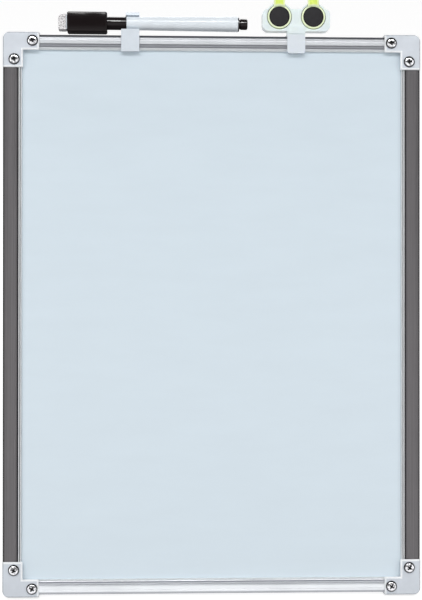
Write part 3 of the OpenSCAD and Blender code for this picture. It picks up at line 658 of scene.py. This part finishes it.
def zinc_sheet(name, board, base, spangle):
    """Galvanised steel: flat crystals that each catch the light a little differently."""
    finish = Finish(name, board, Metallic=0.85)
    crystal = finish.node("SeparateColor", {"Color": finish.cells(spangle)["Color"]}).outputs["Red"]
    fine = finish.grain((0.5 * MM, 0.5 * MM, 12 * MM), detail=3)
    tint = finish.blend(finish.fade(crystal, 0.0, 1.0), shaded(base, 0.9), shaded(base, 1.03))
    rough = finish.spread(finish.calc("ADD", crystal, fine), 0.42, 0.52, 0.4, 1.5)
    return finish.made(tint, rough, fine, 0.01 * MM, 0.4)


def from_axis(finish, centre):
    """Distance in metres from an axis that runs from front to rear through a point on the board."""
    axes = finish.axes()
    point = board_place(finish.board).inverted() @ centre
    squares = [
        finish.calc("POWER", finish.calc("SUBTRACT", axes[axis], point[i]), 2.0)
        for i, axis in ((0, "X"), (2, "Z"))
    ]
    return finish.calc("SQRT", finish.calc("ADD", *squares))


def milky(name, board, base):
    """The start of a milky plastic: its finish, its faint flow marks and its colour with them."""
    finish = Finish(
        name, board, IOR=1.49, Subsurface_Weight=0.3, Subsurface_Radius=(1.0, 1.0, 0.8),
        Subsurface_Scale=2 * MM,
    )
    flow = finish.grain((5 * MM, 5 * MM, 14 * MM), detail=2)
    return finish, flow, finish.mottled(flow, base, 0.985, 1.01)


def frosted_plastic(board, base, stem, height):
    """Milky moulding of the magnet holder, in the colour of its stem below a height on the board."""
    finish, flow, tint = milky("holder_plastic", board, base)
    below = finish.fade(finish.axes()["Z"], height + 0.5 * MM, height - 0.5 * MM)
    return finish.made(finish.blend(below, tint, stem), finish.spread(flow, 0.22, 0.28), flow, 0.01 * MM, 0.2)


def lime_plastic(name, board, base, rim, centre, half_tab):
    """Milky moulding of a magnet's grip, pale round the disc and along the edges of the pull tab."""
    finish, flow, tint = milky(name, board, base)
    away = finish.fade(from_axis(finish, centre), 8.3 * MM, 9.6 * MM)
    aside = finish.apart(finish.axes()["X"], centre.x)
    core = finish.spread(aside, 1.0, 0.25, half_tab - 1.5 * MM, half_tab - 0.9 * MM)
    tint = finish.blend(finish.calc("MULTIPLY", away, core), rim, tint)
    return finish.made(tint, finish.spread(flow, 0.22, 0.28), flow, 0.01 * MM, 0.2)


def pressed_felt(name, board, light, dark, fibre, tuft=3):
    """Matted fibres in two tones, gathered in tufts that are that many fibres wide."""
    finish = Finish(name, board, Sheen_Weight=0.35, Sheen_Roughness=0.5)
    tufts = finish.grain(fibre * tuft, detail=2, roughness=0.6)
    fibres = finish.grain((fibre, fibre, fibre * 5), detail=4, roughness=0.8)
    mix = finish.calc("MULTIPLY_ADD", fibres, 0.35, finish.calc("MULTIPLY", tufts, 0.65))
    tint = finish.blend(finish.fade(mix, 0.4, 0.58), dark, light)
    return finish.made(tint, finish.spread(fibres, 0.85, 1.0), mix, 0.4 * MM, 0.9)


def sintered_ferrite(name, board, base, centre, radius):
    """Ground ceramic magnet: dark grey with fine grains and tiny chips, darker round its edge."""
    finish = Finish(name, board, Specular_IOR_Level=0.25)
    grains = finish.grain(0.2 * MM, detail=4, roughness=0.7)
    cloud = finish.grain(2.5 * MM, detail=2)
    chips = finish.spread(finish.cells(0.8 * MM)["Distance"], 0.0, 0.4, 0.0, 0.2)
    tint = finish.mottled(grains, base, 0.75, 1.25)
    tint = finish.blend(finish.spread(cloud, 0.0, 0.5), tint, shaded(base, 1.5))
    edge = finish.fade(from_axis(finish, centre), radius - 0.9 * MM, radius - 0.4 * MM)
    tint = finish.blend(edge, tint, shaded(base, 0.2))
    relief = finish.calc("ADD", grains, chips)
    return finish.made(tint, finish.spread(grains, 0.5, 0.72), relief, 0.03 * MM, 0.5)


def ribbed_rubber(board, base):
    """Matt rubber with a fine pebbled skin and a bloom of dust."""
    finish = Finish("rubber", board, Specular_IOR_Level=0.3)
    pebbles = finish.grain(0.5 * MM, detail=2)
    dust = finish.grain(6 * MM, detail=4)
    return finish.made(
        finish.mottled(dust, base, 1.0, 1.7), finish.spread(pebbles, 0.7, 0.9), pebbles, 0.06 * MM, 0.6
    )


def pressed_fibreboard(board, base):
    """Raw board of pressed wood fibres."""
    finish = Finish("fibreboard", board)
    fibres = finish.grain((2 * MM, 0.3 * MM, 0.6 * MM), detail=5, roughness=0.7)
    return finish.made(
        finish.mottled(fibres, base, 0.7, 1.15), finish.spread(fibres, 0.75, 0.95), fibres, 0.05 * MM, 0.7
    )


# ---- pieces ----

# Radius and height of a head, radius and length of its shank, depths of its recess and seat, and its rounding
Screw = namedtuple("Screw", "radius height shank tip recess seat edge")


def rebuild(node, name, finish, body, edge=0.0, segments=2, sharp=35):
    """Makes a finished object of a CAD node's own shape."""
    finish_piece(merged_copy(node), name, finish, body, [node], edge, segments, sharp)


def pan_screw(radius, height, shank, tip, recess):
    """A pan-head screw along x, its head before 0 and its shank after it. Its recess is marked 1."""
    bulge = 0.62
    turns = [math.radians(a) for a in range(0, 90, 9)]
    dome = [(-height * math.cos(a), radius * math.sin(a) ** bulge) for a in turns]
    foot = [(-0.05 * height, radius), (0, radius * 0.97)]
    stem = [(0, shank), (tip, shank * 0.98), (tip + shank / 2, 0)]
    shape = lathe(dome + foot + stem)
    for turn in (0, 90):
        arm = block((recess * 2, radius * 1.3, radius * 0.34), (-height, 0, 0))
        deep = [v for v in arm.verts if v.co.x > -height]
        bmesh.ops.scale(arm, vec=(1, 0.4, 0.75), verts=deep)
        shape = cut_out(shape, placed(arm, Matrix.Rotation(math.radians(turn), 4, "X")))
    for face in shape.faces:
        centre = face.calc_center_median()
        out = min(1.0, math.hypot(centre.y, centre.z) / radius)
        surface = -height * math.sqrt(1 - out ** (2 / bulge))
        if surface + 0.06 * MM < centre.x < -0.1 * height and out < 0.75:
            face.material_index = 1
    return shape


def screw_places(node, board, groups):
    """Where the screws of a node stand on the upright board, as the middle of each group of its vertices."""
    back = board_place(board).inverted()
    found = {}
    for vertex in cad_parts[node].data.vertices:
        point = back @ vertex.co
        found.setdefault(groups(point), []).append(point)
    return [
        tuple((min(p[i] for p in points) + max(p[i] for p in points)) / 2 for i in (0, 2))
        for points in found.values()
    ]


def add_screws(board, hues, size, node, name, towards, first_turn, next_turn, groups):
    """Puts a screw at each place of a node, its head towards the front, -1, or towards the rear, 1.

    The first is turned by first_turn degrees, and each of the others by next_turn more.
    """
    place = board_place(board)
    screws = []
    for i, (x, z) in enumerate(sorted(screw_places(node, board, groups))):
        turn = Matrix.Rotation(math.radians(first_turn + next_turn * i), 4, "X")
        screw = placed(pan_screw(*size[:5]), turn)
        placed(screw, Matrix.Rotation(math.radians(-90 * towards), 4, "Z"))
        screws.append(placed(screw, place @ Matrix.Translation((x, towards * size.seat, z))))
    finish_piece(
        joined(*screws), name, chrome(board, hues.chrome, hues.chrome_rim), "frame", [node],
        size.edge, 2, second=recess_painted_shade(board, hues.recess),
    )


class Maker(Operator):
    """What every operator here shares: it makes its pieces once, from the settings in the scene."""

    bl_options = {"REGISTER", "UNDO"}

    def execute(self, context):
        settings = context.scene.easel_board
        self.make(settings, settings.board, settings.colours)
        return {"FINISHED"}


def mixed_shader(tree, factor, first, second):
    """One shader where the factor is 0, and another where it is 1."""
    return add_node(tree, "MixShader", {"Fac": factor, 1: first, 2: second}).outputs["Shader"]


def any_ray(tree, first, *others):
    """1 for any of those kinds of ray."""
    path = add_node(tree, "LightPath")
    total = path.outputs[first]
    for ray in others:
        total = calculate(tree, "MAXIMUM", total, path.outputs[ray])
    return total


# Brightness of the room that the pieces mirror, from the front over the top to the backdrop
ROOM = ((0.0, 1.0), (0.06, 0.8), (0.12, 0.16), (0.3, 0.14), (0.42, 0.06), (0.68, 0.06), (0.78, 1.0))


class EASEL_OT_studio(Maker):
    """Sets the camera, the floor, the lamps and the world"""

    bl_idname = "easel_board.studio"
    bl_label = "Studio"

    def make(self, settings, board, hues):
        studio = settings.studio
        scene = bpy.context.scene
        camera = bpy.data.objects.new("camera", bpy.data.cameras.new("camera"))
        camera.data.sensor_fit = "VERTICAL"
        camera.data.sensor_height = 36
        camera.data.lens = studio.lens
        camera.data.clip_start = 0.01
        camera.location = studio.place
        camera.rotation_euler = studio.turn
        scene.collection.objects.link(camera)
        scene.camera = camera
        scene.view_settings.view_transform = "Standard"
        self.floor()
        self.lamp("key", (-0.35, -1.57, 2.3), (2.2, 0.45), studio.key)
        self.lamp("front_left", (-0.9, -2.1, 2.5), (1.6, 0.8), studio.front)
        self.lamp("front_right", (0.9, -2.1, 2.5), (1.6, 0.8), studio.front)
        self.lamp("fill", (0, -2.6, 0.7), (2.4, 1.2), studio.fill)
        self.lamp("left", (-1.4, -1.1, 0.6), (0.8, 1.2), studio.side)
        self.lamp("right", (1.4, -1.1, 0.6), (0.8, 1.2), studio.side)
        self.lamp("rear", (0.3, 1.3, 1.5), (1.6, 0.6), studio.rear)
        self.world(scene, studio.sky)

    def floor(self):
        """A grey floor that glows white for the camera and for what mirrors it."""
        shape = bmesh.new()
        bmesh.ops.create_grid(shape, x_segments=1, y_segments=1, size=8)
        mesh = bpy.data.meshes.new("floor")
        shape.to_mesh(mesh)
        shape.free()
        floor = bpy.data.objects.new("floor", mesh)
        bpy.context.scene.collection.objects.link(floor)
        material = bpy.data.materials.new("floor")
        material.use_nodes = True
        tree = material.node_tree
        shader = tree.nodes["Principled BSDF"]
        shader.inputs["Base Color"].default_value = (0.45, 0.45, 0.45, 1)
        shader.inputs["Roughness"].default_value = 0.9
        shader.inputs["Specular IOR Level"].default_value = 0.1
        grey = shader.outputs["BSDF"]
        glow = add_node(tree, "Emission", {"Strength": 0.8}).outputs["Emission"]
        white = add_node(tree, "AddShader", {0: grey, 1: glow}).outputs["Shader"]
        rays = any_ray(tree, "Is Camera Ray", "Is Glossy Ray", "Is Transmission Ray")
        tree.links.new(mixed_shader(tree, rays, grey, white), tree.nodes["Material Output"].inputs["Surface"])
        mesh.materials.append(material)

    def lamp(self, name, place, size, power):
        """A rectangular lamp that shines at the lower half of the board."""
        lamp = bpy.data.objects.new(name, bpy.data.lights.new(name, "AREA"))
        lamp.data.shape = "RECTANGLE"
        lamp.data.size, lamp.data.size_y = size
        lamp.data.energy = power
        lamp.location = place
        lamp.rotation_euler = (Vector((0, 0, 0.2)) - Vector(place)).to_track_quat("-Z", "Y").to_euler()
        bpy.context.scene.collection.objects.link(lamp)

    def world(self, scene, sky):
        """White for the camera, a dim room with a white backdrop for mirrors, and even light for the rest."""
        world = bpy.data.worlds.new("studio")
        scene.world = world
        world.use_nodes = True
        tree = world.node_tree
        light = tree.nodes["Background"]
        light.inputs["Color"].default_value = (1, 1, 1, 1)
        light.inputs["Strength"].default_value = sky
        # The height of a direction, turned over the top from the front, 0, to the backdrop, 1
        direction = add_node(tree, "TexCoord").outputs["Generated"]
        axes = add_node(tree, "SeparateXYZ", {"Vector": direction}).outputs
        over = calculate(tree, "ARCTAN2", axes["Z"], calculate(tree, "MULTIPLY", axes["Y"], -1))
        ramp = add_node(tree, "ValToRGB", {"Fac": calculate(tree, "DIVIDE", over, math.pi)})
        fill_ramp(ramp.color_ramp, ROOM)
        room = add_node(tree, "Background", {"Color": ramp.outputs["Color"]}).outputs["Background"]
        white = add_node(tree, "Background", {"Color": (1, 1, 1, 1)}).outputs["Background"]
        mirrors = any_ray(tree, "Is Glossy Ray", "Is Transmission Ray")
        mirrored = mixed_shader(tree, mirrors, light.outputs["Background"], room)
        shown = mixed_shader(tree, any_ray(tree, "Is Camera Ray"), mirrored, white)
        tree.links.new(shown, tree.nodes["World Output"].inputs["Surface"])


class EASEL_OT_rails(Maker):
    """Finishes the four rails and their beads"""

    bl_idname = "easel_board.rails"
    bl_label = "Rails"

    def make(self, settings, board, hues):
        # Painted light: the bottom rail gets a lighter copy of the top rail's colours
        pale, pale_shade = shaded(hues.silver, 1.3), shaded(hues.silver_shade, 2)
        top_rail_banded = drawn_aluminium("rail_aluminium", board, hues.silver, hues.silver_shade, TOP_RAIL_PAINTED_BANDS)
        bottom_rail_banded = drawn_aluminium("bottom_aluminium_painted_light", board, pale, pale_shade, BOTTOM_RAIL_PAINTED_BANDS)
        # side_aluminium is a darker copy of the rails' aluminium: painted shade
        grey = drawn_aluminium("side_aluminium", board, hues.shaded_side_rail, hues.shaded_side_rail_hollow)
        white = ridged_bead(board, hues.bead, hues.bead_shade)
        for node, finish, slot in (
            ("top_rail", top_rail_banded, "rail_aluminium"), ("bottom_rail", bottom_rail_banded, "rail_aluminium"),
            ("left_rail", grey, "side_aluminium"), ("right_rail", grey, "side_aluminium"),
            ("top_bead", white, "bead_plastic"), ("bottom_bead", white, "bead_plastic"),
            ("left_bead", white, "bead_plastic"), ("right_bead", white, "bead_plastic"),
        ):
            rebuild(node, node + "_extrusion", finish, "frame", sharp=40)


class EASEL_OT_panel(Maker):
    """Finishes the writing sheet, the core and the backing sheet"""

    bl_idname = "easel_board.panel"
    bl_label = "Panel"

    def make(self, settings, board, hues):
        coat("writing_sheet", glossy_enamel(board, hues.enamel))
        coat("core_panel", pressed_fibreboard(board, hues.fibreboard))
        coat("backing_sheet", zinc_sheet("galvanised", board, hues.zinc, 7 * MM))


class EASEL_OT_corners(Maker):
    """Makes the four corner caps and their eight screws"""

    bl_idname = "easel_board.corners"
    bl_label = "Corners"

    def make(self, settings, board, hues):
        white = cap_plastic(board, hues.cap)
        for node in ("top_left_cap", "top_right_cap", "bottom_left_cap", "bottom_right_cap"):
            rebuild(node, node + "_moulding", white, "frame", board.edge * 2, 3)

        def corner(point):
            """The cap that a point is at, and whether it belongs to the screw nearer to the side."""
            up = point.z - board.height / 2
            return point.x > 0, up > 0, abs(point.x) - abs(up) > -58 * MM

        size = Screw(
            board.head_radius, board.head_height, board.shank_radius, 2.5 * MM, board.recess_depth,
            seat=1.4 * MM, edge=0.08 * MM,
        )
        add_screws(board, hues, size, "corner_screws", "cross_head_screws", -1, 25, 47, corner)


class EASEL_OT_easel(Maker):
    """Makes the bracket with its screws and pin, the leg and its foot"""

    bl_idname = "easel_board.easel"
    bl_label = "Easel"

    def make(self, settings, board, hues):
        steel = zinc_sheet("bracket_steel", board, hues.zinc, 2 * MM)
        for node, name in (("easel_bracket", "bracket"), ("hinge_pin", "pin")):
            rebuild(node, name, steel, "frame", board.edge)

        def bracket_corner(point):
            """The corner of the bracket that a point is at."""
            return point.x > 0, point.z > 270 * MM

        size = Screw(3 * MM, 1.4 * MM, 1.3 * MM, 6 * MM, 1 * MM, seat=12.2 * MM, edge=0.06 * MM)
        add_screws(board, hues, size, "bracket_screws", "small_screws", 1, 10, 61, bracket_corner)
        grey = moulded_plastic("leg_plastic", board, hues.leg, 0.5, 0.6, 0.03)
        rebuild("easel_leg", "leg_moulding", grey, "leg", 0.5 * MM, 3)
        rebuild("leg_foot_pad", "foot", ribbed_rubber(board, hues.rubber), "leg", 0.5 * MM, 3)


class EASEL_OT_marker(Maker):
    """Makes the marker: barrel, end plug, spout, nib and reservoir"""

    bl_idname = "easel_board.marker"
    bl_label = "Marker"

    def make(self, settings, board, hues):
        pen = settings.marker
        place = pen_place(board)

        def add(shape, name, finish, node):
            finish_piece(placed(shape, place), name, finish, "marker", [node])

        white = moulded_plastic("barrel_plastic", board, hues.barrel, 0.22, 0.8, 0.004, Coat_Weight=0.3)
        black = polished_black("black_plastic", board, hues.black, 0.5)
        add(self.barrel(pen), "barrel", white, "marker_barrel")
        add(self.plug(pen), "end_plug", black, "marker_end_plug")
        add(self.spout(pen), "spout", black, "nib_holder")
        ink = pressed_felt("nib_felt", board, shaded(hues.black, 1.6), shaded(hues.black, 0.7), 0.08 * MM)
        add(self.nib(pen), "nib", ink, "marker_nib")
        fibre = pressed_felt("reservoir_fibre", board, (0.8, 0.8, 0.78), (0.6, 0.6, 0.58), 0.1 * MM)
        coat("ink_reservoir", fibre)

    def barrel(self, pen):
        """The tube, with a raised ring at its far end."""
        end, ring = pen.barrel_length, pen.barrel_length - 1.2 * MM
        near, far, raised = pen.barrel_near, pen.barrel_far, pen.barrel_far + 0.15 * MM
        return lathe([
            (0, pen.bore), (0, near - 0.3 * MM), (0.3 * MM, near), (ring - 0.5 * MM, far),
            (ring, far - 0.12 * MM), (ring + 0.2 * MM, raised), (end - 0.2 * MM, raised),
            (end, far), (end, pen.bore), (0, pen.bore),
        ], 96)

    def plug(self, pen):
        """The end plug: its shank in the bore, its collar, and its knob beyond a groove."""
        end, inner, tight = pen.barrel_length, pen.barrel_length - 7 * MM, pen.bore - BORE_FIT
        collar, knob, groove = pen.collar_radius, pen.plug_radius, pen.plug_radius * 0.86
        low, high = end + 0.9 * MM, end + 0.9 * MM + pen.plug_length
        return lathe([
            (inner, 0), (inner, tight), (end, tight), (end, collar), (low - 0.2 * MM, collar),
            (low, collar - 0.2 * MM), (low, groove), (low + 0.8 * MM, groove), (low + 1.2 * MM, knob),
            (high - 1 * MM, knob), (high - 0.3 * MM, knob - 0.3 * MM), (high, knob - 1 * MM),
            (high - 0.4 * MM, knob - 1.6 * MM), (high - 0.4 * MM, 0),
        ])

    def spout(self, pen):
        """The spout, with its hole for the nib and a ridge round it that grips the cap."""
        tip, inner, hole, tight = -pen.spout_length, 6 * MM, pen.nib_radius + BORE_FIT, pen.bore - BORE_FIT
        radius, ridge = pen.spout_radius, pen.spout_radius + 0.12 * MM
        return lathe([
            (inner, hole), (tip, hole), (tip, radius - 0.7 * MM), (tip + 0.5 * MM, radius - 0.25 * MM),
            (tip + 1.2 * MM, radius), (-2.2 * MM, radius), (-2 * MM, ridge), (-1.6 * MM, ridge),
            (-1.4 * MM, radius), (-1 * MM, radius), (0, radius + 0.3 * MM), (0, tight), (inner, tight),
            (inner, hole),
        ])

    def nib(self, pen):
        """The nib, with its round end."""
        radius, point = pen.nib_radius, -pen.spout_length - pen.nib_length
        turns = [math.radians(a) for a in range(0, 91, 10)]
        end = [(point + radius * (1 - math.cos(a)), radius * math.sin(a)) for a in turns]
        return lathe(end + [(2 * MM, radius), (2 * MM, 0)], 32)


class EASEL_OT_eraser_cap(Maker):
    """Makes the cap with its eraser block and felt"""

    bl_idname = "easel_board.eraser_cap"
    bl_label = "Eraser cap"

    def make(self, settings, board, hues):
        pen = settings.marker
        place = pen_place(board)
        black = polished_black("cap_black", board, hues.black, 0.4)
        start, neck, bore = -0.1 * MM, pen.neck_radius, pen.spout_radius + 0.45 * MM
        deep, shoulder = start - pen.spout_length - pen.nib_length - 1 * MM, start - pen.neck_length
        tube = lathe([
            (deep, 0), (deep, bore), (start, bore), (start, neck - 0.4 * MM),
            (start - 0.15 * MM, neck - 0.12 * MM), (start - 0.4 * MM, neck), (shoulder, neck),
            (shoulder - 1 * MM, neck), (shoulder - 1 * MM, 0),
        ])
        size = (pen.block_length, pen.block_depth, pen.block_height)
        base = rounded(block(size, (shoulder - size[0] / 2, 0, 0)), pen.block_edge, 5, sharp=60)
        cap = placed(joined(tube, base), place)
        finish_piece(cap, "cap_and_block", black, "eraser_cap", ["marker_cap"])
        self.felt(board, hues, pen, place, shoulder - pen.block_length)

    def felt(self, board, hues, pen, place, seat):
        """The pad of felt on its foam strip, from the end of the block outwards."""
        low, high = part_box("eraser_felt")
        width, depth, strip, fibre = high.x - low.x, pen.block_depth - 3.2 * MM, 0.9 * MM, 0.22 * MM
        foam = block((strip, depth - 0.6 * MM, pen.felt_height - 0.6 * MM), (seat - strip / 2, 0, 0))
        rounded(foam, 0.25 * MM, 2)
        white = moulded_plastic("foam", board, hues.barrel, 0.6, 0.3, 0.05)
        finish_piece(placed(foam, place), "felt_foam", white, "eraser_cap", ["eraser_felt"])
        felt = block((width - strip, depth, pen.felt_height), (seat - strip / 2 - width / 2, 0, 0))
        far = seat - width

        def outer(edge, upper):
            return all(abs(v.co.x - far) < 1e-6 and (v.co.z > 0) == upper for v in edge.verts)

        rounded(felt, pen.felt_edge, 7, lambda edge: outer(edge, True))
        rounded(felt, 0.9 * MM, 3, lambda edge: outer(edge, False))
        free = seat - strip - 1e-6
        rounded(felt, 0.5 * MM, 2, lambda edge: all(v.co.x < free for v in edge.verts), sharp=60)
        bmesh.ops.triangulate(felt, faces=felt.faces)
        for _ in range(4):
            long_edges = [e for e in felt.edges if e.calc_length() > 0.5 * MM]
            bmesh.ops.subdivide_edges(felt, edges=long_edges, cuts=1)
            bmesh.ops.triangulate(felt, faces=felt.faces)
        felt.normal_update()
        moves = {}
        for vertex in felt.verts:
            rough = noise.noise(vertex.co * 1100) * 0.65 + noise.noise(vertex.co * 3200) * 0.35
            if vertex.co.x < seat - strip - 0.1 * MM:
                moves[vertex] = vertex.normal * (rough - 1) * fibre
        for vertex, move in moves.items():
            vertex.co += move
        wool = pressed_felt("eraser_felt", board, hues.felt, hues.felt_shade, fibre, 4)
        felt = placed(felt, place)
        pad = finish_piece(felt, "felt_pad", wool, "eraser_cap", ["eraser_felt"], sharp=80)


class EASEL_OT_clip(Maker):
    """Makes the clip that holds the marker"""

    bl_idname = "easel_board.clip"
    bl_label = "Clip"

    def make(self, settings, board, hues):
        fork = board.height + 8 * MM
        # The clip is lighter above its fork with painted light
        white = moulded_plastic("clip_plastic", board, hues.clip, 0.32, 0.4, 0.006, painted_light_above=fork)
        rebuild("marker_clip", "clip_moulding", white, "clip", board.edge)


class EASEL_OT_magnets(Maker):
    """Makes the magnet holder, the two grips and their ferrite discs"""

    bl_idname = "easel_board.magnets"
    bl_label = "Magnets"

    def make(self, settings, board, hues):
        magnet = settings.magnets
        frosted = frosted_plastic(board, hues.holder, hues.stem, board.height + 1.3 * MM)
        rebuild("magnet_holder", "holder_moulding", frosted, "holder", 0.7 * MM)
        for side in ("left", "right"):
            body = side + "_magnet"
            centre = middle(body + "_disc")
            place = Matrix.Translation(centre) @ leaned(board)
            lime = lime_plastic(side + "_lime", board, hues.lime, hues.lime_rim, centre, magnet.tab_width / 2)
            ferrite = sintered_ferrite(side + "_ferrite", board, hues.ferrite, centre, magnet.disc_radius)
            for shape, kind, finish, slot in (
                (self.grip(magnet), "_grip", lime, "lime_plastic"),
                (self.disc(magnet), "_disc", ferrite, "ferrite"),
            ):
                finish_piece(placed(shape, place), side + kind, finish, body, [body + kind])

    def grip(self, magnet):
        """The round grip with its pocket for the disc, and the pull tab above it."""
        front, wall, edge = magnet.disc_proud - magnet.disc_depth / 2, magnet.grip_radius, MAGNET_EDGE
        rear, pocket, floor = front + magnet.grip_depth, magnet.disc_radius + BORE_FIT, front + 2.8 * MM
        cup = lathe([
            (floor, 0), (floor, pocket), (front, pocket), (front, wall - edge),
            (front + 0.1 * MM, wall - 0.1 * MM), (front + edge, wall), (rear - 1 * MM, wall),
            (rear - 0.3 * MM, wall - 0.3 * MM), (rear, wall - 1 * MM), (rear, 0),
        ], 96)
        placed(cup, Matrix.Rotation(math.radians(90), 4, "Z"))
        half, bend = magnet.tab_width / 2, magnet.tab_width / 4
        turns = [math.radians(a) for a in range(0, 91, 15)]
        start, reach = magnet.tab_start, magnet.tab_reach
        right = [(half - bend + math.cos(a) * bend, reach - bend + math.sin(a) * bend) for a in turns]
        left = [(-x, z) for x, z in reversed(right)]
        tab = plate([(-half, start), (half, start), *right, *left], magnet.tab_depth)
        placed(tab, Matrix.Translation((0, front, 0)))
        return joined(cup, rounded(tab, 0.35 * MM, 3, sharp=50))

    def disc(self, magnet):
        """The ferrite disc."""
        half, radius, edge = magnet.disc_depth / 2, magnet.disc_radius, MAGNET_EDGE
        shape = lathe([
            (-half, 0), (-half, radius - edge), (-half + 0.1 * MM, radius - 0.1 * MM),
            (-half + edge, radius), (half, radius), (half, 0),
        ], 96)
        return placed(shape, Matrix.Rotation(math.radians(90), 4, "Z"))


# ---- add-on ----


class EaselBoardSettings(PropertyGroup):
    """All settings of the easel board."""

    board: PointerProperty(type=BoardSizes)
    marker: PointerProperty(type=MarkerSizes)
    magnets: PointerProperty(type=MagnetSizes)
    colours: PointerProperty(type=FinishColours)
    studio: PointerProperty(type=StudioSettings)


OPERATORS = (
    EASEL_OT_studio, EASEL_OT_rails, EASEL_OT_panel, EASEL_OT_corners, EASEL_OT_easel,
    EASEL_OT_marker, EASEL_OT_eraser_cap, EASEL_OT_clip, EASEL_OT_magnets,
)


class EASEL_PT_pieces(Panel):
    """Lists the operators in the sidebar of the 3D view"""

    bl_idname = "EASEL_PT_pieces"
    bl_label = "Easel Board"
    bl_space_type = "VIEW_3D"
    bl_region_type = "UI"
    bl_category = "Easel Board"

    def draw(self, context):
        for operator in OPERATORS:
            self.layout.operator(operator.bl_idname)


CLASSES = (
    BoardSizes, MarkerSizes, MagnetSizes, FinishColours, StudioSettings, EaselBoardSettings, *OPERATORS,
    EASEL_PT_pieces,
)


def register():
    for kind in CLASSES:
        bpy.utils.register_class(kind)
    bpy.types.Scene.easel_board = PointerProperty(type=EaselBoardSettings)


def unregister():
    del bpy.types.Scene.easel_board
    for kind in reversed(CLASSES):
        bpy.utils.unregister_class(kind)


def main():
    register()
    for operator in OPERATORS:
        group, name = operator.bl_idname.split(".")
        getattr(getattr(bpy.ops, group), name)()


if __name__ == "__main__":
    main()
